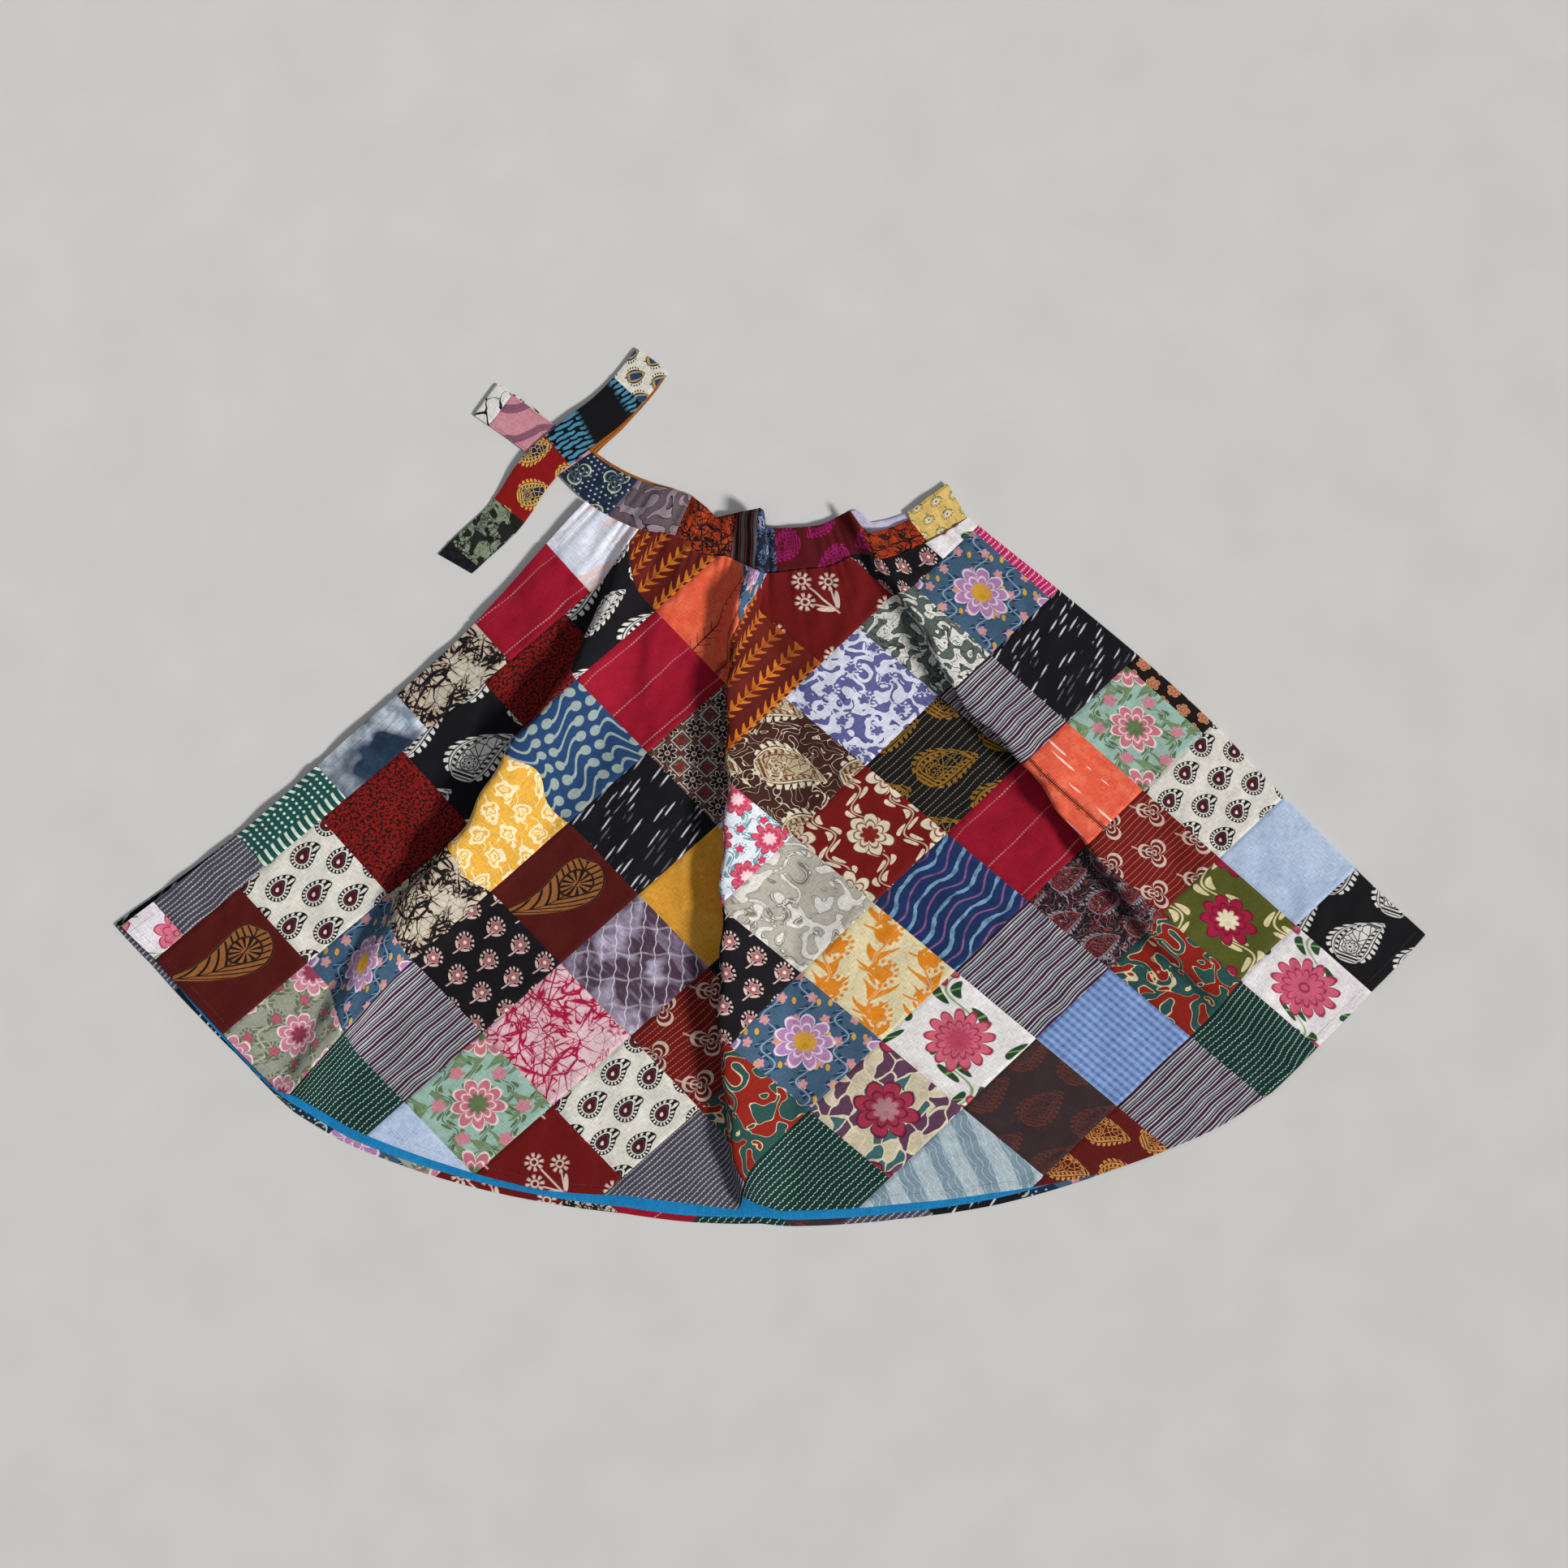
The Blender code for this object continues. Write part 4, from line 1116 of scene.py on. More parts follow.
def cut_piece(flat, side, starts, beside, names):
    """One strip of a flat chart as arrays: points, marks, corners, polygon starts and sizes.

    side is the strip's span of b, or None for all of it. starts are the a where each
    fabric begins, and beside the distances from a seam of the extra cuts.
    """
    shape = bmesh.new()
    shape.from_mesh(flat)
    if side is not None:
        for at, keep in zip(side, ("above", "below")):
            cut(shape, 1, at, keep)
        for step in beside:
            cut(shape, 1, side[0] + step)
            cut(shape, 1, side[1] - step)
    for at in starts[1:]:
        cut(shape, 0, at)
        for step in beside:
            cut(shape, 0, at - step)
            cut(shape, 0, at + step)
    mesh = bpy.data.meshes.new("cut chart")
    shape.to_mesh(mesh)
    shape.free()
    points = np.empty(3 * len(mesh.vertices), dtype=np.float32)
    mesh.vertices.foreach_get("co", points)
    marks = {}
    for name in names:
        marks[name] = np.empty(len(mesh.vertices), dtype=np.float32)
        mesh.attributes[name].data.foreach_get("value", marks[name])
        marks[name] = marks[name].astype(float)
    corners = np.empty(len(mesh.loops), dtype=np.int32)
    mesh.loops.foreach_get("vertex_index", corners)
    first = np.empty(len(mesh.polygons), dtype=np.int32)
    mesh.polygons.foreach_get("loop_start", first)
    sides = np.empty(len(mesh.polygons), dtype=np.int32)
    mesh.polygons.foreach_get("loop_total", sides)
    bpy.data.meshes.remove(mesh)
    return points.reshape(-1, 3)[:, :2].astype(float), marks, corners, first, sides


print("charts can be cut")


# %% Close cut cloth into a body
def around_faces(corners, first, sides):
    """For each corner: its face's first corner, how many it has, and the corner after."""
    order = np.arange(len(corners))
    start, many = np.repeat(first, sides), np.repeat(sides, sides)
    return start, many, np.where(order + 1 == start + many, start, order + 1)


def shell(name, middle, normal, thick, corners, first, sides, spots, slots, fabrics):
    """A closed body of cloth: a top, the same faces turned over below, and a rim.

    middle is the cloth's middle surface, thick its thickness at each point, spots the
    place in the cloth at each corner, and slots the fabric of each face.
    """
    count = len(middle)
    lift = normal * thick[:, None] / 2
    points = np.concatenate([middle + lift, middle - lift])
    start, many, after = around_faces(corners, first, sides)
    turned = 2 * start + many - 1 - np.arange(len(corners))
    here, there = corners, corners[after]
    key = np.minimum(here, there).astype(np.int64) * count + np.maximum(here, there)
    _, back, tally = np.unique(key, return_inverse=True, return_counts=True)
    edge = np.flatnonzero(tally[back.ravel()] == 1)
    rim = np.stack([there[edge], here[edge], here[edge] + count, there[edge] + count], -1)
    rim_spots = spots[np.stack([after[edge], edge, edge, after[edge]], -1)]
    face_of = np.repeat(np.arange(len(sides)), sides)
    all_corners = np.concatenate([corners, corners[turned] + count, rim.ravel()])
    all_sides = np.concatenate([sides, sides, np.full(len(edge), 4)])
    all_spots = np.concatenate([spots, spots[turned], rim_spots.reshape(-1, 2)])
    all_slots = np.concatenate([slots, slots, slots[face_of[edge]]])
    mesh = bpy.data.meshes.new(name)
    mesh.vertices.add(len(points))
    mesh.vertices.foreach_set("co", points.astype(np.float32).ravel())
    mesh.loops.add(len(all_corners))
    mesh.loops.foreach_set("vertex_index", all_corners.astype(np.int32))
    mesh.polygons.add(len(all_sides))
    begins = np.concatenate([[0], np.cumsum(all_sides)[:-1]]).astype(np.int32)
    mesh.polygons.foreach_set("loop_start", begins)
    for fabric in fabrics:
        mesh.materials.append(cotton(fabric))
    mesh.polygons.foreach_set("material_index", all_slots.astype(np.int32))
    mesh.uv_layers.new(name="cloth").data.foreach_set("uv", all_spots.astype(np.float32).ravel())
    mesh.update(calc_edges=True)
    mesh.validate()
    mesh.shade_smooth()
    mesh.set_sharp_from_angle(angle=math.radians(48))
    made = in_scene(name, mesh)
    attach(made, "root")
    return made


def edge_fade(away, radius):
    """How full a cloth is near an edge: 0.3 at it, rising along a quarter circle to 1."""
    away = np.clip(away / radius, 0, 1)
    return 0.3 + 0.7 * np.sqrt(1 - (1 - away) ** 2)


print("cut cloth can be closed")

# %% [markdown]
# ## The front panel
# Ten strips of patches run down and to the left, parallel to the wrap edge. Where a fold
# hides cloth, the patch coordinates jump, so four flat maps, one for each stretch between
# the folds, are read at the place where the cloth is seen and blended under the overhang.

# %% Set the patch maps
PATCH = 0.132
# A map for each stretch between the folds, in mm from the apex: the step along the strips,
# the step across them, and where both counts of patches are 0
LATTICE = (
    ((-105.2, -88.6), (87.5, -96.9), (-26.0, 2.0)),
    ((-101.0, -89.4), (90.0, -93.8), (-115.3, 9.4)),
    ((-94.4, -90.2), (104.7, -87.4), (-294.9, -29.7)),
    ((-77.8, -73.1), (99.0, -87.4), (-278.7, -49.9)),
)
# Grid cells across each stretch, across a fold, down the panel and round the right edge
PLAIN_CELLS, RIDGE_CELLS, PANEL_ROWS, ROLL_CELLS = (32, 38, 48, 30), 32, 190, 8
# The way round the right edge, in patches along and across the strips for each patch's width
ROLL_STEP = np.array([-0.76, 0.66])
# mm of lean from which a fold hides the whole change of map
HIDING_LEAN = 38


def patch_place(x, y, section):
    """Solve x, y = a A + b B + C for a and b, with the steps A, B and start C of a map."""
    (ax, ay), (bx, by), (cx, cy) = section
    x, y = x / MM - cx, y / MM - cy
    across = ax * by - ay * bx
    return np.stack([(x * by - y * bx) / across, (ax * y - ay * x) / across], -1)


# Places where the cloth is pulled askew: mm right of the apex and above it, how far the
# print slips there to the right and up, and the radius of the pull, in mm
PULLS = ((-293, -566, 13, 12, 27), (-258, -604, -6, -6, 24), (-377, -698, -9, -6, 22),
         (-330, -330, 7, 4, 30), (72, -560, -7, 5, 30), (318, -560, 6, 6, 26), (-60, -905, 6, -4, 30))


def pulled(x, y):
    """Where the print shown at x, y would lie if the cloth weren't pulled askew there."""
    from_x, from_y = x.copy(), y.copy()
    for at_x, at_y, right, up, wide in PULLS:
        pull = np.exp(-((x - at_x * MM) ** 2 + (y - at_y * MM) ** 2) / (wide * MM) ** 2)
        from_x -= right * MM * pull
        from_y -= up * MM * pull
    return from_x, from_y


print("patch maps:", len(LATTICE), "and pulls:", len(PULLS))


# %% Lay out the patch coordinates
def column_degrees(reach):
    """Degrees of every column at its own distances: close across folds, even between."""
    left = smooth(SIDES, 1, reach / MM)
    right = smooth(SIDES, 2, reach / MM) - np.degrees(ROLL / reach)
    places = fold_places(reach)
    starts = [left] + [middle + half for middle, half in places]
    ends = [middle - half for middle, half in places] + [right]
    degrees, at = right.copy(), 0
    for index, (start, end) in enumerate(zip(starts, ends)):
        many = PLAIN_CELLS[index]
        these = slice(at, at + many)
        share = np.arange(many) / many
        degrees[:, these] = start[:, these] + (end - start)[:, these] * share
        at += many
        if index < len(places):
            middle, half = places[index]
            these = slice(at, at + RIDGE_CELLS)
            share = 2 * np.arange(RIDGE_CELLS) / RIDGE_CELLS - 1
            degrees[:, these] = middle[:, these] + half[:, these] * share
            at += RIDGE_CELLS
    return degrees


def patch_chart(reach, degrees):
    """Patch coordinates where the cloth is seen, one map fading into the next on the
    hidden left side of each fold, or across all of it where the fold barely leans."""
    seen = standing(reach, degrees, 0.0, reach)
    x, y = pulled(seen[..., 0] - APEX_X, seen[..., 1] - APEX_Y)
    chart = patch_place(x, y, LATTICE[0])
    for fold, (middle, half), section in zip(FOLDS, fold_places(reach), LATTICE[1:]):
        leaning = np.clip(smooth(fold, 3, reach / MM) / HIDING_LEAN, 0, 1)
        t = np.clip(((degrees - middle) / half + 1) / (2 - leaning), 0, 1)
        share = (t * t * (3 - 2 * t))[..., None]
        chart = chart + share * (patch_place(x, y, section) - chart)
    return chart


down = np.linspace(0, 1, PANEL_ROWS + 1)[:, None]
columns = sum(PLAIN_CELLS) + RIDGE_CELLS * len(FOLDS) + 1
front_reach = np.full((PANEL_ROWS + 1, columns), FIRST_REACH)
for _ in range(SETTLING):
    front_degrees = column_degrees(front_reach)
    seam = smooth(WAIST, 1, front_degrees, MM) + SEAM_GAP
    front_reach = seam + down * (plain(HEM, 1, front_degrees, MM) - seam)
front_chart = patch_chart(front_reach, front_degrees)
front_turn = np.zeros_like(front_reach)
for step in range(1, ROLL_CELLS + 2):
    rolled = min(step / ROLL_CELLS, 1.0) + (RETURN_MARK if step > ROLL_CELLS else 0.0)
    front_reach = np.concatenate([front_reach, front_reach[:, -1:]], axis=1)
    front_degrees = np.concatenate([front_degrees, front_degrees[:, -1:]], axis=1)
    front_turn = np.concatenate([front_turn, np.full((PANEL_ROWS + 1, 1), rolled)], axis=1)
    onward = (ROLL * math.pi / ROLL_CELLS if step <= ROLL_CELLS else ROLL_RETURN) / PATCH
    front_chart = np.concatenate([front_chart, front_chart[:, -1:] + onward * ROLL_STEP], axis=1)
print("patch coordinates from", front_chart.min(axis=(0, 1)).round(2), "to",
      front_chart.max(axis=(0, 1)).round(2))


# %% [markdown]
# ### Creases
# Between the folds the cloth keeps the marks of handling: soft ridges a hand's breadth
# long, none like its neighbour. Each is listed in a table. Where cloth humps up it
# takes in some of its length, so the print slips towards the ridge from both sides, and a
# stripe that crosses it kinks.

# %% Place the creases
# mm right of the apex and mm above it where each starts and ends, its half width and its
# height in mm, below zero for a trough
CREASES = (
    (-156, -251, -201, -341, 9, 1.6), (-191, -238, -228, -306, 8, 1.1), (-238, -345, -280, -396, 7, 0.8),
    (-144, -387, -150, -465, 8, 1.3), (-177, -446, -169, -497, 7, 0.9), (-99, -660, -101, -759, 8, 2.2),
    (-70, -671, -60, -774, 8, 2), (-134, -786, -169, -891, 6, -1.4), (-205, -782, -195, -824, 6, -1),
    (-456, -814, -537, -927, 8, 1.5), (-492, -849, -513, -896, 6, 1), (-534, -927, -564, -1009, 7, 1.4),
    (-568, -919, -587, -982, 6, 1), (-411, -875, -364, -845, 7, 1), (-398, -688, -440, -744, 10, 1.7),
    (-492, -774, -532, -843, 10, 1.7), (-343, -648, -366, -721, 8, 1.3), (-293, -625, -301, -681, 7, 1.1),
    (-188, -996, -81, -986, 6, 0.8), (-154, -1022, -98, -1045, 6, 0.8), (-356, -973, -398, -1036, 7, 0.9),
    (-261, -879, -247, -933, 6, 0.8), (38, -406, 22, -490, 8, 1.2), (75, -318, 68, -396, 9, 1.5),
    (127, -301, 117, -366, 8, 1.3), (260, -419, 343, -528, 6, 1.5), (279, -413, 364, -513, 6, 1.1),
    (301, -406, 379, -490, 6, 0.8), (190, -322, 232, -406, 8, 1.4), (316, -301, 329, -369, 7, 1),
    (369, -734, 381, -824, 8, 1.5), (432, -726, 448, -803, 8, 1.3), (505, -805, 568, -881, 9, 1.7),
    (539, -795, 589, -858, 7, 1.3), (411, -564, 434, -629, 7, 1.1), (366, -601, 379, -681, 9, 1.7),
    (316, -625, 308, -681, 7, 0.9), (182, -1045, 369, -1036, 7, 1.1), (371, -986, 425, -1038, 8, 1),
    (652, -858, 694, -923, 8, 1), (600, -921, 633, -986, 7, 1.2), (736, -742, 801, -807, 8, 0.9),
    (180, -742, 159, -797, 7, 0.8), (43, -732, 22, -797, 8, 1.3), (64, -921, 54, -975, 7, 1),
    (-91, -1078, -62, -1036, 6, 1), (-314, -517, -335, -590, 9, 1.4), (621, -627, 694, -711, 9, 0.9),
)


def creases(x, y):
    """Height of the creases and slip of the print across them, in metres.

    Across a crease, with n the distance from it over its half width, the height is
    h (exp(-n^2) - 0.35 exp(-((n - 1.8) / 1.1)^2)) and the slip is 1.6 h n exp(-n^2).
    Along it both fade by exp(-((t - 0.5) / 0.42)^4), where t runs from 0 to 1.
    """
    tall, slip = np.zeros_like(x), np.zeros(x.shape + (2,))
    for x0, y0, x1, y1, wide, height in CREASES:
        run = np.array([x1 - x0, y1 - y0]) * MM
        length = np.hypot(*run)
        run /= length
        from_x, from_y = x - APEX_X - x0 * MM, y - APEX_Y - y0 * MM
        n = (from_y * run[0] - from_x * run[1]) / (wide * MM)
        t = (from_x * run[0] + from_y * run[1]) / length
        h = height * MM * np.exp(-(((t - 0.5) / 0.42) ** 4))
        tall += h * (np.exp(-n * n) - 0.35 * np.exp(-(((n - 1.8) / 1.1) ** 2)))
        slip += (1.6 * h * n * np.exp(-n * n))[..., None] * np.array([-run[1], run[0]])
    return tall, slip


print("creases placed:", len(CREASES))


# %% Shape the front cloth
def rumple(x, y):
    """Small wrinkles in metres: crossed sine waves bent by two more, never below zero."""
    bend = 0.9 * np.sin(31 * x - 17 * y) + 0.7 * np.sin(13 * x + 29 * y + 1.0)
    soft = np.sin(62 * x + 38 * y + bend) * np.sin(21 * y - 33 * x + 0.5 * bend)
    fine = np.sin(150 * x - 95 * y + 2.2 * bend) * np.sin(37 * x + 44 * y + 2.0)
    return 0.0011 * (soft + 1) + 0.0005 * (fine + 1)


def gathers(reach, degrees):
    """Pulls that run down from the waist seam, a third as strong every 55 mm."""
    down_from = reach - smooth(WAIST, 1, degrees, MM)
    fade = np.exp(-np.clip(down_from, 0, None) / 0.055)
    return 0.0011 * fade * (1 + np.sin(degrees * 2.1 + np.sin(degrees * 0.7) * 2.0))


# The small wrinkles calm down over the 3 degrees before this one
CALM_EDGE = 48.6


def front_surface(reach, degrees, turn):
    """The middle of the front cloth: the raised cloth, calmer near the right edge, then a
    half circle down round it as turn goes from 0 to 1, then flat inward beyond 1."""
    flat = standing(reach, degrees, FRONT_TOP - CLOTH / 2, reach)
    x, y = on_floor(reach, degrees)
    small = rumple(x, y) + gathers(reach, degrees) + creases(x, y)[0]
    flat[..., 2] += small * np.clip((CALM_EDGE - degrees) / 3, 0.1, 1)
    round_it = np.clip(turn, 0, 1) * math.pi
    radius = ROLL - CLOTH / 2
    out = radius * np.sin(round_it) - np.clip(turn - 1, 0, 1) / RETURN_MARK * ROLL_RETURN
    angle = np.radians(degrees)
    tall = np.where(turn > 0, ROLL + radius * np.cos(round_it), flat[..., 2])
    return np.stack([flat[..., 0] + out * np.cos(angle), flat[..., 1] + out * np.sin(angle), tall], -1)


def front_normal(reach, degrees, turn):
    """The cloth's normal: from its slopes on the panel, and round the half circle."""
    level = facing_up(front_surface, reach, degrees, np.zeros_like(turn), steps=(0.0008, 0.05))
    angle, round_it = np.radians(degrees), np.clip(turn, 0, 1) * math.pi
    bent = np.stack([np.sin(round_it) * np.cos(angle), np.sin(round_it) * np.sin(angle),
                     np.cos(round_it)], -1)
    return np.where((turn > 0)[..., None], bent, level)


print("front surface ready")

# %% List the patches, strip by strip
# The count of patches along the strip at which each fabric begins
STRIPS = (
    ((BEGIN, "white streaked"), (2.69, "crimson lined"), (3.69, "cream crackle"),
     (4.69, "indigo cloud"), (5.69, "teal leaf waves"), (6.69, "grey pinstripe"),
     (7.69, "pink blossom")),
    ((BEGIN, "ochre sprays"), (2, "black paisley"), (3, "red speckle"), (4, "black paisley"),
     (5, "red speckle"), (6, "cream buds"), (7, "maroon leaf paisley")),
    ((BEGIN, "blue floral"), (1, "orange twig"), (2, "crimson lined"), (3, "blue leaf waves"),
     (4, "yellow rings"), (5, "cream crackle"), (6, "blue floral"), (7, "sage floral")),
    ((BEGIN, "white peony"), (-1.5, "black posies"), (-0.5, "red sprigs"), (0.5, "ochre sprays"),
     (2, "star tile"), (3, "black ikat"), (4, "maroon leaf paisley"), (5, "black posies"),
     (6, "grey stripe"), (7, "green dashes")),
    ((BEGIN, "pink lined"), (-2, "blue floral"), (-1, "grey scroll"), (0, "violet ornament"),
     (1, "brown paisley"), (2, "white red floral"), (3, "ochre plain"), (4, "purple dye"),
     (5, "pink crackle"), (6, "mint floral"), (7, "pale blue plain")),
    ((BEGIN, "black ikat"), (-1, "grey stripe"), (0, "black gold"),
     (1, "red cream flowers"), (2, "beige ornament"), (3, "black posies"),
     (4, "red leaf dashes"), (5, "cream buds"), (6, "red sprigs")),
    ((BEGIN, "black orange motifs"), (-2, "mint floral"), (-1, "coral stitched"),
     (0, "crimson lined"), (1, "navy waves"), (2, "orange flowers"), (3, "blue floral"),
     (4, "teal red wavy"), (5, "grey pinstripe")),
    ((BEGIN, "cream buds"), (-1, "red leaf dashes"), (0, "navy paisley"), (1, "grey stripe"),
     (2, "pink tulips"), (3, "plum floral"), (4, "green dashes")),
    ((BEGIN, "pale blue plain"), (-1, "olive floral"), (0, "teal red wavy"), (1, "blue check"),
     (2, "dark tone paisley"), (3, "blue grey broad")),
    ((BEGIN, "black paisley"), (-1, "white peony"), (0, "green dashes"), (1, "grey stripe"),
     (2, "red ochre paisley")),
)
print("patches listed:", sum(len(patches) for patches in STRIPS))

# %% Sew the front strips
# Extra cuts beside each seam, in patches from it
SEAM_CUTS = (0.012, 0.03, 0.06)
# How far before its seam the print of a strip's first, cut patch is centred, in patches
FIRST_CENTRE = 0.35
# Directions on the floor along and across the strips
CLOTH_AXES = np.array([step / np.hypot(*step) for step in np.array(LATTICE[0][:2])])


def seam_dip(away):
    """How far cloth sinks into a seam: 0.8 mm in it, with a low soft ridge 6 mm away."""
    return -0.0008 * np.exp(-((away / 0.0022) ** 2)) + 0.0003 * np.exp(-(((away - 0.006) / 0.004) ** 2))


def seam_pucker(along, away):
    """Small waves 0.4 mm high that sewing leaves 5 mm beside a seam, along in patches."""
    return 0.0004 * np.sin(along * 66) * np.exp(-((away - 0.005) / 0.006) ** 2)


front_flat = flat_chart(front_chart, {"reach": front_reach, "degrees": front_degrees,
                                      "turn": front_turn})
low, high = front_chart[..., 1].min(), front_chart[..., 1].max()
for number, patches in enumerate(STRIPS):
    starts = np.array([start for start, _ in patches], dtype=float)
    side = (low - 1 if number == 0 else number, high + 1 if number == len(STRIPS) - 1 else number + 1)
    points, marks, corners, first, sides = cut_piece(
        front_flat, side, starts, SEAM_CUTS, ("reach", "degrees", "turn"))
    reach, degrees, turn = marks["reach"], marks["degrees"], marks["turn"]
    middle = front_surface(reach, degrees, turn)
    normal = front_normal(reach, degrees, turn)
    to_strip = np.minimum(np.abs(points[:, 1] - side[0]), np.abs(points[:, 1] - side[1])) * PATCH
    to_patch = np.min(np.abs(points[:, :1] - starts[None, 1:]), axis=1) * PATCH
    dip = seam_dip(to_strip) + seam_dip(to_patch)
    middle[:, 2] += (dip + seam_pucker(points[:, 0], to_strip)) * (turn <= 0)
    left = np.radians(degrees - smooth(SIDES, 1, reach / MM)) * reach
    hem = plain(HEM, 1, degrees, MM) - reach
    thick = CLOTH * edge_fade(np.minimum(left, hem), PANEL_EDGE)
    centre = np.add.reduceat(points[corners], first, axis=0) / sides[:, None]
    patch = np.clip(np.searchsorted(starts, centre[:, 0]) - 1, 0, len(patches) - 1)
    used = sorted({patches[k][1] for k in np.unique(patch)})
    slots = np.array([used.index(name) if name in used else 0 for _, name in patches])[patch]
    of_corner = np.repeat(patch, sides)
    first_centre = np.append(starts[1:], 0) - FIRST_CENTRE
    centres = np.where(starts == BEGIN, first_centre, starts + 0.5)[of_corner]
    spots = np.stack([points[corners, 0] - centres, points[corners, 1] - number - 0.5], -1) * PATCH
    slip = creases(*on_floor(reach, degrees))[1]
    spots += (slip @ CLOTH_AXES.T)[corners]
    made = shell(f"front_strip_{number}", middle, normal, thick, corners, first, sides,
                 spots, slots, used)
    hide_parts("front_panel")

# %% [markdown]
# ## The back panel and its hem facing
# Only a narrow rim of the back shows: it is the same patchwork, lying with its inside up,
# and a bright blue facing is stitched along the inside of its hem. It is one grid between
# the waist seam and the back hem, cut into patches as the front is.

# %% Lay the back panel
# The count of patches picks from these; the grid's rows and columns
BACK_PRINTS = ("dark tone paisley", "navy leaf dots", "red sprigs", "green dashes", "black ikat",
               "sage floral", "crimson lined", "grey pinstripe", "blue floral", "cream crackle")
BACK_ROWS, BACK_COLUMNS = 90, 130
# Degrees by which the back shows past the wrap edge near the hem or is tucked in above,
# and the metres from the apex where one turns into the other, and over how many
PEEK_OUT, TUCK_IN, PEEK_FROM, PEEK_OVER = 0.35, 0.5, 0.9, 0.2


def back_edges(reach):
    """Degrees of the back's left and right edges: tucked in above, peeking out below."""
    left = smooth(SIDES, 1, reach / MM)
    out, tucked = (reach - PEEK_FROM) / PEEK_OVER, (PEEK_FROM - reach) / PEEK_OVER
    left = left - PEEK_OUT * np.clip(out, 0, 1) + TUCK_IN * np.clip(tucked, 0, 1)
    right = smooth(SIDES, 2, reach / MM) - np.degrees((ROLL + ROLL_RETURN + SEAM_GAP) / reach)
    return left, right


down = np.linspace(0, 1, BACK_ROWS + 1)[:, None]
across = np.linspace(0, 1, BACK_COLUMNS + 1)[None, :]
back_reach = np.full((BACK_ROWS + 1, BACK_COLUMNS + 1), FIRST_REACH)
for _ in range(SETTLING):
    left, right = back_edges(back_reach)
    back_degrees = left + across * (right - left)
    seam = smooth(WAIST, 1, back_degrees, MM) + SEAM_GAP
    back_reach = seam + down * (plain(HEM, 2, back_degrees, MM) - seam)
x, y = on_floor(back_reach, back_degrees)
back_chart = patch_place(x - APEX_X, y - APEX_Y, LATTICE[2])
back_chart = back_chart - np.floor(back_chart.min(axis=(0, 1)))
shape = bmesh.new()
flat = flat_chart(back_chart, {"reach": back_reach, "degrees": back_degrees})
shape.from_mesh(flat)
for at in range(1, int(back_chart[..., 1].max()) + 1):
    cut(shape, 1, at)
shape.to_mesh(flat)
shape.free()
starts = np.arange(0.0, back_chart[..., 0].max() + 1)
points, marks, corners, first, sides = cut_piece(flat, None, starts, (), ("reach", "degrees"))
x, y = on_floor(marks["reach"], marks["degrees"])
middle = np.stack([x, y, np.full_like(x, CLOTH / 2)], -1)
hem = plain(HEM, 2, marks["degrees"], MM) - marks["reach"]
centre = np.add.reduceat(points[corners], first, axis=0) / sides[:, None]
patch = np.floor(centre).astype(int)
slots = (patch[:, 0] * 3 + patch[:, 1] * 7) % len(BACK_PRINTS)
spots = points[corners] * PATCH
back = shell("back_cloth", middle, straight_up(middle), CLOTH * edge_fade(hem, PANEL_EDGE),
             corners, first, sides, spots, slots, BACK_PRINTS)
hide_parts("back_panel")


# %% Cut long pieces from a grid
# How deep the cloth dips in a seam, and how far each piece's print starts from the last one's
PIECE_DIP, PIECE_SHIFT = 0.0005, 0.0731


def long_piece(name, node, chart, marks, pieces, lay, beside=()):
    """A strip of cloth whose fabrics change along it.

    chart holds metres along and across, pieces the metres at which each fabric starts,
    and lay turns a dictionary of marks into middle points, normals and thickness.
    """
    starts = np.array([start for start, _ in pieces], dtype=float)
    used = sorted({fabric for _, fabric in pieces})
    points, found, corners, first, sides = cut_piece(
        flat_chart(chart, marks), None, starts, beside, tuple(marks))
    middle, normal, thick = lay(found)
    seam = np.min(np.abs(points[:, :1] - np.append(starts[1:], BEYOND)[None, :]), axis=1)
    middle = middle - normal * (PIECE_DIP * np.exp(-((seam / 0.002) ** 2)))[:, None]
    middle[:, 2] = np.maximum(middle[:, 2], thick / 2)
    centre = np.add.reduceat(points[corners], first, axis=0) / sides[:, None]
    piece = np.clip(np.searchsorted(starts, centre[:, 0]) - 1, 0, len(pieces) - 1)
    slots = np.array([used.index(fabric) for _, fabric in pieces])[piece]
    shift = np.repeat(piece, sides) * PIECE_SHIFT
    spots = points[corners] + np.stack([shift, shift], -1)
    made = shell(name, middle, normal, thick, corners, first, sides, spots, slots, used)
    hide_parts(node)
    return made


# %% Sew on the hem facing
# Facing edge: degrees, mm from it to the back's hem. It rolls to the very edge near the
# left corner and lies a turned edge's width inside it everywhere else
FACING_EDGE = (
    (-43.0, 8.5), (-40.5, 5.0), (-38.0, 3.0), (-35.7, 1.2), (-33.0, 2.5), (-31.0, 8.5),
)


def facing_reach_at(degrees, share):
    """Distance of the facing from the apex, from its upper edge at 0 to its lower at 1."""
    lower = plain(HEM, 2, degrees, MM) - plain(FACING_EDGE, 1, degrees, MM)
    return lower - FACING_WIDTH * (1 - share)


degrees = np.linspace(FACING_LEFT, FACING_RIGHT, 401)[None, :]
share = np.linspace(0, 1, 9)[:, None]
facing_reach = facing_reach_at(degrees, share)
facing_degrees = np.broadcast_to(degrees, facing_reach.shape)
along = np.radians(facing_degrees - FACING_LEFT) * FACING_RADIUS


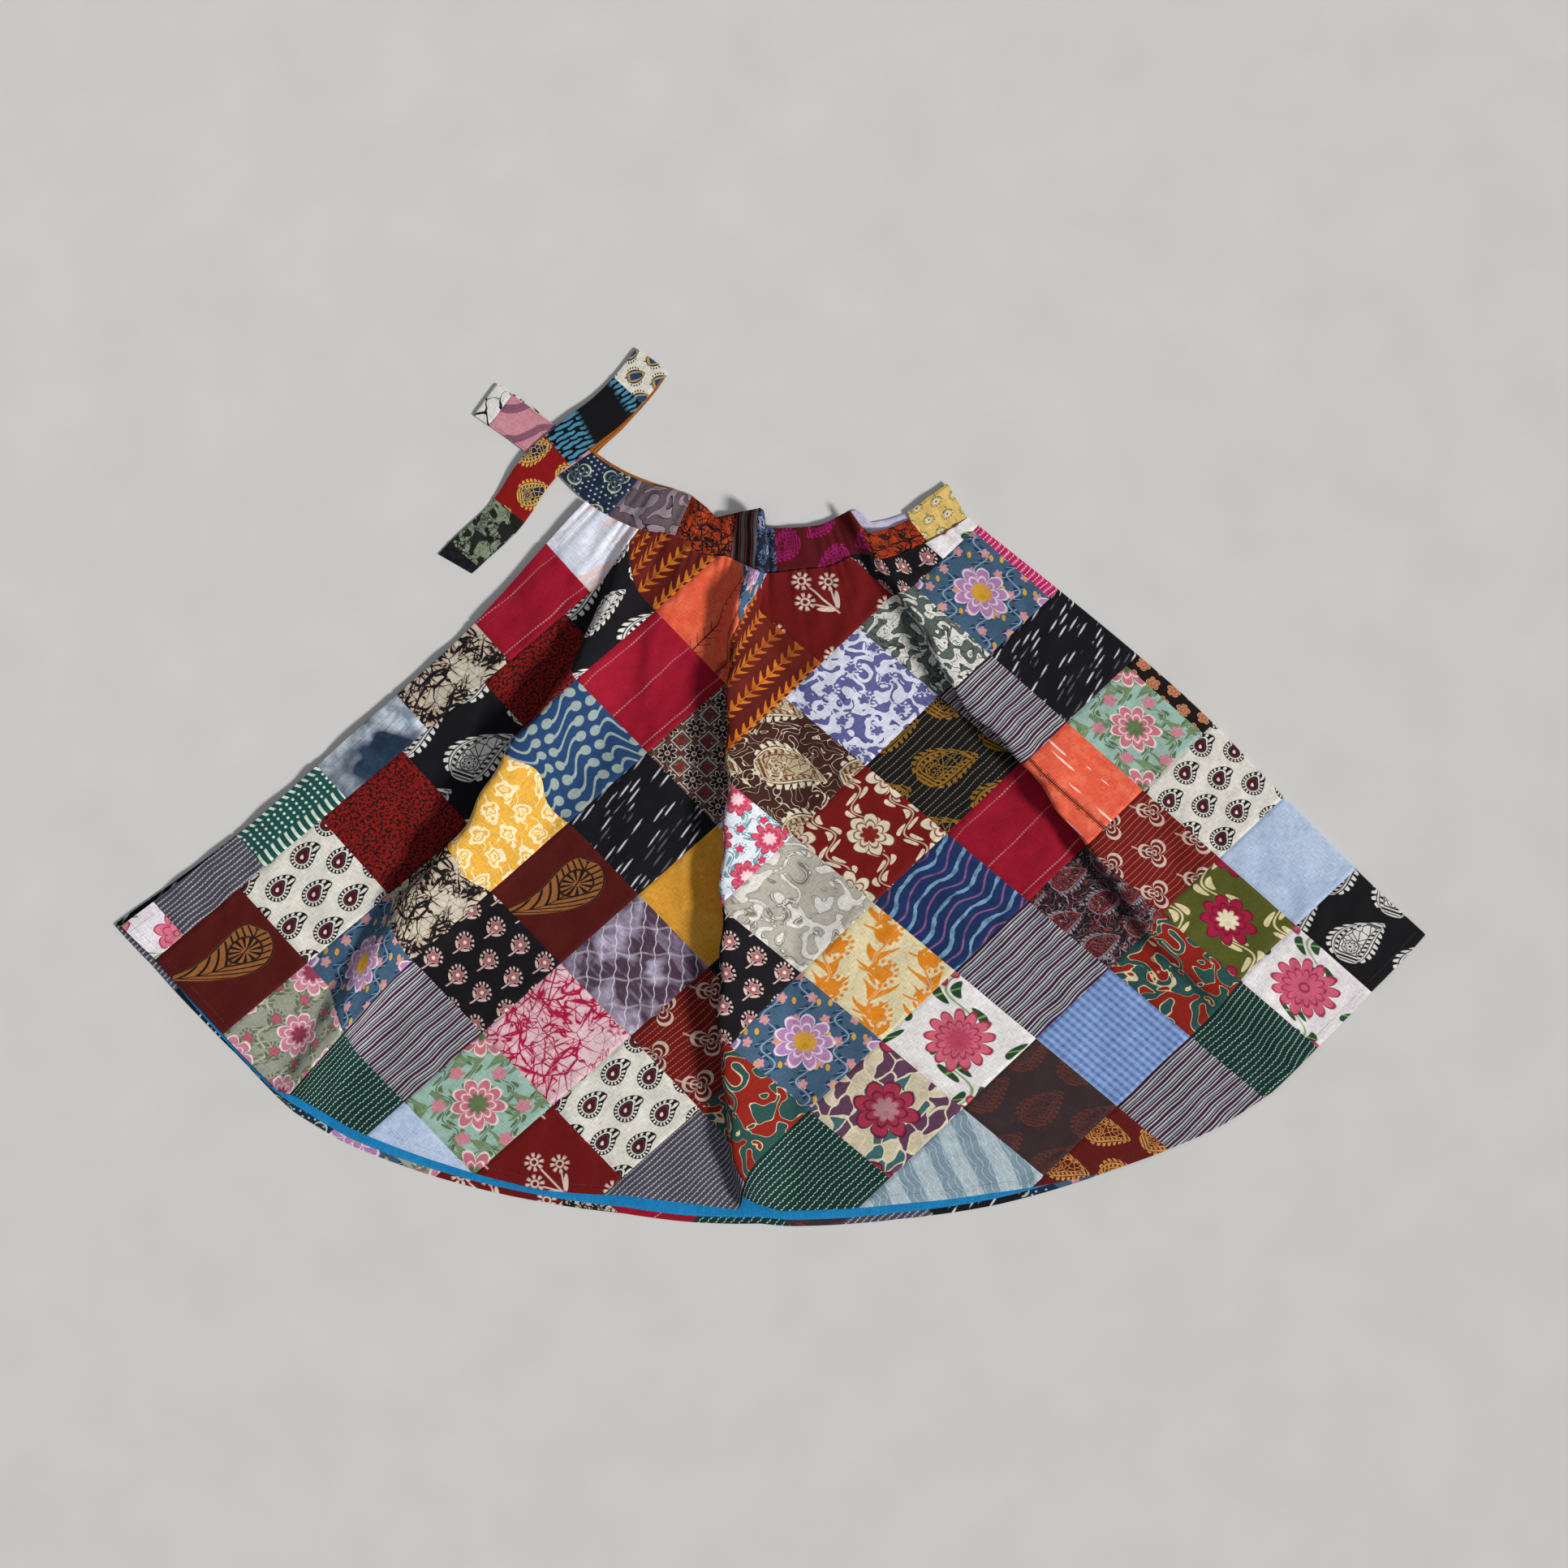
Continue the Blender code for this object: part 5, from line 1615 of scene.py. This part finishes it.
def lay_facing(marks):
    """Flat above the back cloth, with a soft ripple and edges turned under."""
    x, y = on_floor(marks["reach"], marks["degrees"])
    across = marks["across"] * FACING_WIDTH
    ripple = 0.00015 * (1 + np.sin(marks["degrees"] * 9 + np.sin(marks["degrees"] * 2)))
    middle = np.stack([x, y, FACING_LIFT + FACING_CLOTH / 2 + ripple], -1)
    away = np.minimum(across, FACING_WIDTH - across)
    return middle, straight_up(middle), FACING_CLOTH * edge_fade(away, FACING_THIN)


long_piece("hem_facing_cloth", "hem_facing",
           np.stack([along, (1 - share) * FACING_WIDTH + 0 * along], -1),
           {"reach": facing_reach, "degrees": facing_degrees,
            "across": share + 0 * facing_reach},
           ((BEGIN, "facing blue"),), lay_facing)

# %% [markdown]
# ## The waistband
# The band is a doubled strip of eight pieces. It follows the waist seam and stands up
# where the folds begin, so its top edge scallops, and the inside of the back band shows
# through the dips. Its thickness swells off its edges as a turned and pressed edge does.

# %% Sew the front waistband
BAND_ROWS, BAND_COLUMNS = 18, 330
# Degrees at which each cotton of the band begins
BAND_PIECES = ((-56, "navy leaf dots"), (-40.5, "taupe blobs"), (-23.5, "rust crackle"),
               (-8.0, "dark stripe"), (-3.8, "navy circles"), (3.6, "magenta paisley"),
               (26.5, "rust crackle"), (38.6, "yellow cherries"))
# Band tops: degrees, mm to the front band's top, mm to the back band's top. They follow
# the seam table, with the steep sides of the puffs and the taller last piece
BAND_TOPS = (
    (-55.3, 268, 264), (-47.0, 256, 252), (-38.0, 243, 239), (-30.0, 231, 229),
    (-24.0, 226, 228), (-18.0, 234, 240), (-14.0, 243, 246), (-8.0, 232, 246),
    (-3.5, 225, 246), (-1.2, 230, 247), (0.2, 243, 247), (1.5, 249, 248), (8.0, 252, 255),
    (17.0, 257, 260), (24.0, 254, 258), (26.2, 255, 255), (27.2, 279, 255),
    (28.5, 292, 257), (29.5, 293, 264), (30.0, 294, 280), (34.0, 300, 288),
    (38.7, 305, 296), (39.1, 296, 297), (44.0, 300, 303), (49.0, 308, 310),
)
# The share of the band's width over which its puffs rise from the seam
PUFF_RISE = 0.7
# Puffs of the gathered band: degrees of the crest, height in mm, half width in degrees
PUFFS = (
    (-44.0, 1.0, 3.5), (-36.0, 1.2, 3.0), (-27.5, 2.4, 2.0), (-20.0, 4.2, 2.3),
    (-10.8, 4.6, 1.7), (-5.0, 5.0, 1.8), (2.9, 2.4, 1.5), (11.0, 2.6, 3.6),
    (17.2, 2.0, 1.8), (25.0, 5.0, 1.7), (31.5, 2.0, 1.6), (36.0, 1.2, 1.6), (43.0, 1.2, 2.6),
)


def end_slant(degrees, share):
    """Degrees by which the band's right end leans out, from its seam to its top."""
    return BAND_SLANT * share * np.clip((degrees - 40) / 8, 0, 1)


def band_surface(degrees, share):
    """The band's middle: the seam's raised cloth carried up to the band's top edge."""
    seam = smooth(WAIST, 1, degrees, MM) - SEAM_GAP / 2
    reach = seam + share * (plain(BAND_TOPS, 1, degrees, MM) - seam)
    lifted = standing(reach, degrees + end_slant(degrees, share), BAND_TOP - BAND_CLOTH / 2,
                      seam + SEAM_GAP * 1.5)
    free = np.clip(share / PUFF_RISE, 0, 1)
    free = free * free * (3 - 2 * free)
    for crest_at, tall, wide in PUFFS:
        lifted[..., 2] += tall * MM * free * np.exp(-(((degrees - crest_at) / wide) ** 2))
    ripple = np.sin(degrees * 1.9 + 3 * np.sin(degrees * 0.31)) * np.sin(share * 3.1)
    lifted[..., 2] += 0.0006 * (1 + ripple)
    return lifted


def lay_band(marks):
    """The band's middle, its normal, and its thickness, which fades at its edges."""
    degrees, share = marks["degrees"], marks["share"]
    middle = band_surface(degrees, share)
    normal = -facing_up(band_surface, degrees, share, steps=(-0.05, 0.01))
    seam = smooth(WAIST, 1, degrees, MM)
    tall = np.abs(seam - plain(BAND_TOPS, 1, degrees, MM))
    away = np.minimum(share, 1 - share) * tall
    ends = np.radians(degrees - BAND_END) * seam
    return middle, normal, BAND_CLOTH * edge_fade(np.minimum(away, ends), BAND_EDGE)


def band_length(degrees):
    """Metres along the band at an angle about the apex."""
    return degrees * math.pi / 180 * BAND_RADIUS


last = smooth(SIDES, 2, np.array([WAIST_CORNER])) - math.degrees(ROLL / (WAIST_CORNER * MM))
degrees = np.linspace(BAND_END, float(last[0]), BAND_COLUMNS + 1)[None, :]
share = np.linspace(1, 0, BAND_ROWS + 1)[:, None]
tall = smooth(WAIST, 1, degrees, MM) - plain(BAND_TOPS, 1, degrees, MM)
along = band_length(degrees)
long_piece(
    "waistband_cloth", "waistband_front",
    np.stack([along + 0 * share, -share * tall], -1),
    {"degrees": degrees + 0 * share, "share": share + 0 * degrees},
    tuple((band_length(at), fabric) for at, fabric in BAND_PIECES),
    lay_band, (0.0015, 0.004))

# %% Sew the back waistband
BACK_BAND_WIDTH = 0.05
free = np.linspace(BAND_END + 0.4, float(back_degrees[0, 0]), 24)[:-1]
degrees = np.concatenate([free, np.linspace(back_degrees[0, 0], back_degrees[0, -1], 220)])[None, :]


def lay_back_band(marks):
    """The back band, flat on the floor from its seam to its top edge."""
    degrees, share = marks["degrees"], marks["share"]
    seam = smooth(WAIST, 1, degrees, MM) - SEAM_GAP
    reach = seam + share * (plain(BAND_TOPS, 2, degrees, MM) - seam)
    x, y = on_floor(reach, degrees + end_slant(degrees, share))
    middle = np.stack([x, y, np.full_like(x, BAND_CLOTH / 2)], -1)
    away = np.minimum(share, 1 - share) * BACK_BAND_WIDTH
    return middle, straight_up(middle), BAND_CLOTH * edge_fade(away, BAND_EDGE)


tall = smooth(WAIST, 1, degrees, MM) - plain(BAND_TOPS, 2, degrees, MM)
along = band_length(degrees)
long_piece("back_band_cloth", "waistband_back",
           np.stack([along + 0 * share, -share * tall], -1),
           {"degrees": degrees + 0 * share, "share": share + 0 * degrees},
           ((BEGIN, "ochre woven"), (band_length(-10), "lavender")),
           lay_back_band)

# %% [markdown]
# ## The ties
# Two doubled ribbons start at the band's free end. One runs up to the left and folds back
# under itself, the other comes out below it, turns at its upper right end and crosses on
# top. Each is a ribbon carried along its route, keeping its heading where it folds over.


# %% Carry a ribbon along a route
def ribbon(route, steps):
    """Middles, directions across and normals of a route of x, y, height and heading."""
    place = np.linspace(0, len(route) - 1, steps)
    table = [(k, *row) for k, row in enumerate(route)]
    path = np.stack([smooth(table, 1, place, MM) + APEX_X, smooth(table, 2, place, MM) + APEX_Y,
                     smooth(table, 3, place, MM)], -1)
    heading = np.radians(smooth(table, 4, place))
    across = np.stack([-np.sin(heading), np.cos(heading), np.zeros_like(heading)], -1)
    run = np.gradient(path, axis=0)
    run = unit(run - across * np.sum(run * across, axis=1, keepdims=True))
    return path, across, np.cross(run, across), length_along(path)


def tie_wobble(length):
    """How far a tie strays sideways at a length along it, in metres."""
    return 0.0006 * np.sin(length * 55)


def sew_tie(name, node, route, pieces):
    """A tie as a long piece whose marks are its middle, its cross direction and normal."""
    path, across, up, length = ribbon(route, 420)
    share = np.linspace(0.5, -0.5, 13)[:, None]
    spread = {"share": share + 0 * length[None, :], "length": length[None, :] + 0 * share}
    for kind, vectors in (("middle_", path), ("across_", across), ("up_", up)):
        for k, axis in enumerate("xyz"):
            spread[kind + axis] = vectors[None, :, k] + 0 * share

    def lay(marks):
        """Middle plus share of the width across, thinner at the edges and the ends."""
        middle, side, normal = (np.stack([marks[kind + axis] for axis in "xyz"], -1)
                                for kind in ("middle_", "across_", "up_"))
        sideways = marks["share"] * TIE_WIDTH + tie_wobble(marks["length"])
        middle = middle + side * sideways[:, None]
        away = np.minimum((0.5 - np.abs(marks["share"])) * TIE_WIDTH,
                          np.minimum(marks["length"], length[-1] - marks["length"]))
        return middle, unit(normal), TIE_CLOTH * edge_fade(away, TIE_EDGE)

    chart = np.stack([spread["length"], spread["share"] * TIE_WIDTH], -1)
    print(name, "is", round(float(length[-1]), 3), "m long")
    long_piece(name, node, chart, spread, pieces, lay, (0.0015,))
    return {"path": path, "across": across, "up": up, "length": length}


front_route = sew_tie("front_tie_cloth", "tie_front", FRONT_TIE,
                      ((BEGIN, "rose mauve"), (0.1185, "white crackle")))
back_route = sew_tie("back_tie_cloth", "tie_back", BACK_TIE,
                     ((BEGIN, "ochre woven"), (0.132, "tulip buds"), (0.192, "black teal ikat"),
                      (0.312, "red ornament"), (0.412, "olive batik"), (0.494, "black plain")))
print("ties sewn")

# %% [markdown]
# ## Stitching
# The wrap edge, the hems, the facing, the band and the ties are all topstitched. A stitch
# is a slim grain with four sides, 2.6 mm long, half sunk in the cloth, and none reaches
# below the floor's plane; each row of them is one mesh, set out by length along a line that
# is worked out on the cloth's own surface.


# %% Sew rows of stitches
# Metres from stitch to stitch, the length of a stitch and the width of its thread
PITCH, STITCH, THREAD = 0.0034, 0.0026, 0.0007


def stitch_row(name, path, up, thread):
    """Stitches every PITCH metres along a path of points with normals on the cloth's face.

    A grain's points are its two ends, its two sides, its crown 0.55 of the thread's width
    above the cloth and its keel 0.35 below it.
    """
    far = length_along(path)
    at = np.arange(PITCH / 2, far[-1], PITCH)
    run = np.gradient(path, axis=0)
    spot, way, out = (np.stack([np.interp(at, far, part[:, k]) for k in range(3)], -1)
                      for part in (path, run, up))
    way = unit(way)
    out = unit(out - way * np.sum(out * way, axis=1, keepdims=True))
    side = np.cross(out, way)
    grain = np.stack([-way * STITCH / 2, way * STITCH / 2, side * THREAD / 2, out * THREAD * 0.55,
                      -side * THREAD / 2, -out * THREAD * 0.35], 1) + spot[:, None, :]
    grain[..., 2] = np.maximum(grain[..., 2], 0)
    ring = ((2, 3), (3, 4), (4, 5), (5, 2))
    corners = np.array([(1, a, b) for a, b in ring] + [(0, b, a) for a, b in ring])
    faces = (corners[None] + 6 * np.arange(len(at))[:, None, None]).reshape(-1, 3)
    mesh = bpy.data.meshes.new(name)
    mesh.from_pydata(grain.reshape(-1, 3).tolist(), [], faces.tolist())
    around = np.array([[-STITCH / 2, 0], [STITCH / 2, 0], [0, THREAD], [0, 2 * THREAD],
                       [0, 3 * THREAD], [0, 4 * THREAD]])
    spots = around[corners][None] + np.stack([at, at * 0.37], -1)[:, None, None, :]
    mesh.uv_layers.new(name="cloth").data.foreach_set("uv", spots.astype(np.float32).ravel())
    mesh.materials.append(cotton(thread))
    mesh.shade_smooth()
    made = in_scene(name, mesh)
    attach(made, "root")
    print(name, "has", len(at), "stitches")
    return made


def on_front(reach, degrees):
    """Points and normals on the face of the front cloth."""
    flat = np.zeros_like(reach)
    normal = front_normal(reach, degrees, flat)
    return front_surface(reach, degrees, flat) + normal * CLOTH / 2, normal


def on_laid(lay, **marks):
    """Points and normals on the face of a long piece."""
    middle, normal, thick = lay(marks)
    return middle + normal * (thick / 2)[:, None], normal


def on_tie(route, share, begins, ends):
    """Points and normals on a tie's face, share of its width from its middle."""
    keep = (route["length"] >= begins) & (route["length"] <= ends)
    up = unit(route["up"][keep])
    sideways = share * TIE_WIDTH + tie_wobble(route["length"][keep])
    return route["path"][keep] + route["across"][keep] * sideways[:, None] + up * TIE_CLOTH / 2, up


# Metres from the wrap edge and from the hem to their rows
WRAP_INSET, HEM_INSET = 0.0135, 0.012
reach = np.linspace(float(front_reach[0, 0]) + 0.001, float(front_reach[-1, 0]) - 0.004, 400)
edge = smooth(SIDES, 1, reach / MM)
stitch_row("wrap_edge_stitches", *on_front(reach, edge + np.degrees(WRAP_INSET / reach)),
               "grey thread")
degrees = np.linspace(float(front_degrees[-1, 0]) + 0.3, 47.6, 1500)
reach = plain(HEM, 1, degrees, MM) - HEM_INSET
stitch_row("front_hem_stitches", *on_front(reach, degrees), "grey thread")
degrees = np.linspace(FACING_LEFT + 0.1, FACING_RIGHT - 0.1, 900)
[
    stitch_row(f"facing_stitches_{side}", *on_laid(
        lay_facing, degrees=degrees, across=np.full_like(degrees, share),
        reach=facing_reach_at(degrees, share)), "blue thread")
    for side, share in (("above", 0.06), ("below", 0.94))]
degrees = np.linspace(BAND_END + 0.5, 48.0, 900)
[
    stitch_row(f"band_stitches_{side}", *on_laid(
        lay_band, degrees=degrees, share=np.full_like(degrees, share)), "brown thread")
    for side, share in (("below", 0.05), ("above", 0.94))]
[
    stitch_row(f"front_tie_stitches_{side}", *on_tie(front_route, share, 0.012, 0.112), "black thread")
    for side, share in (("one", -0.44), ("two", 0.44))]
[
    stitch_row(f"back_tie_stitches_{side}", *on_tie(back_route, share, 0.145, 0.505), "pale thread")
    for side, share in (("one", -0.44), ("two", 0.44))]

# %% [markdown]
# ## The floor
# A pale matt studio floor, with a faint mottle so that it isn't one flat tone.

# %% Lay the floor
# Half the floor's width, and the height of its face just below the cloth
FAR, FLOOR = 200.0, -0.0004
floor_mesh = bpy.data.meshes.new("studio floor")
floor_mesh.from_pydata([(-FAR, -FAR, FLOOR), (FAR, -FAR, FLOOR), (FAR, FAR, FLOOR), (-FAR, FAR, FLOOR)],
                       [], [(0, 1, 2, 3)])
floor = in_scene("studio_floor", floor_mesh)
paper = bpy.data.materials.new("pale floor")
paper.use_nodes = True
tree = paper.node_tree
place = tree.nodes.new("ShaderNodeTexCoord")
mottle = tree.nodes.new("ShaderNodeTexNoise")
mottle.inputs["Scale"].default_value = 9
tree.links.new(place.outputs["Object"], mottle.inputs["Vector"])
ramp = tree.nodes.new("ShaderNodeValToRGB")
ramp.color_ramp.elements[0].color = linear("C9C8C6")
ramp.color_ramp.elements[1].color = linear("D3D2D0")
tree.links.new(mottle.outputs[0], ramp.inputs["Fac"])
tree.links.new(ramp.outputs[0], tree.nodes["Principled BSDF"].inputs["Base Color"])
tree.nodes["Principled BSDF"].inputs["Roughness"].default_value = 0.9
floor_mesh.materials.append(paper)
print("floor laid")
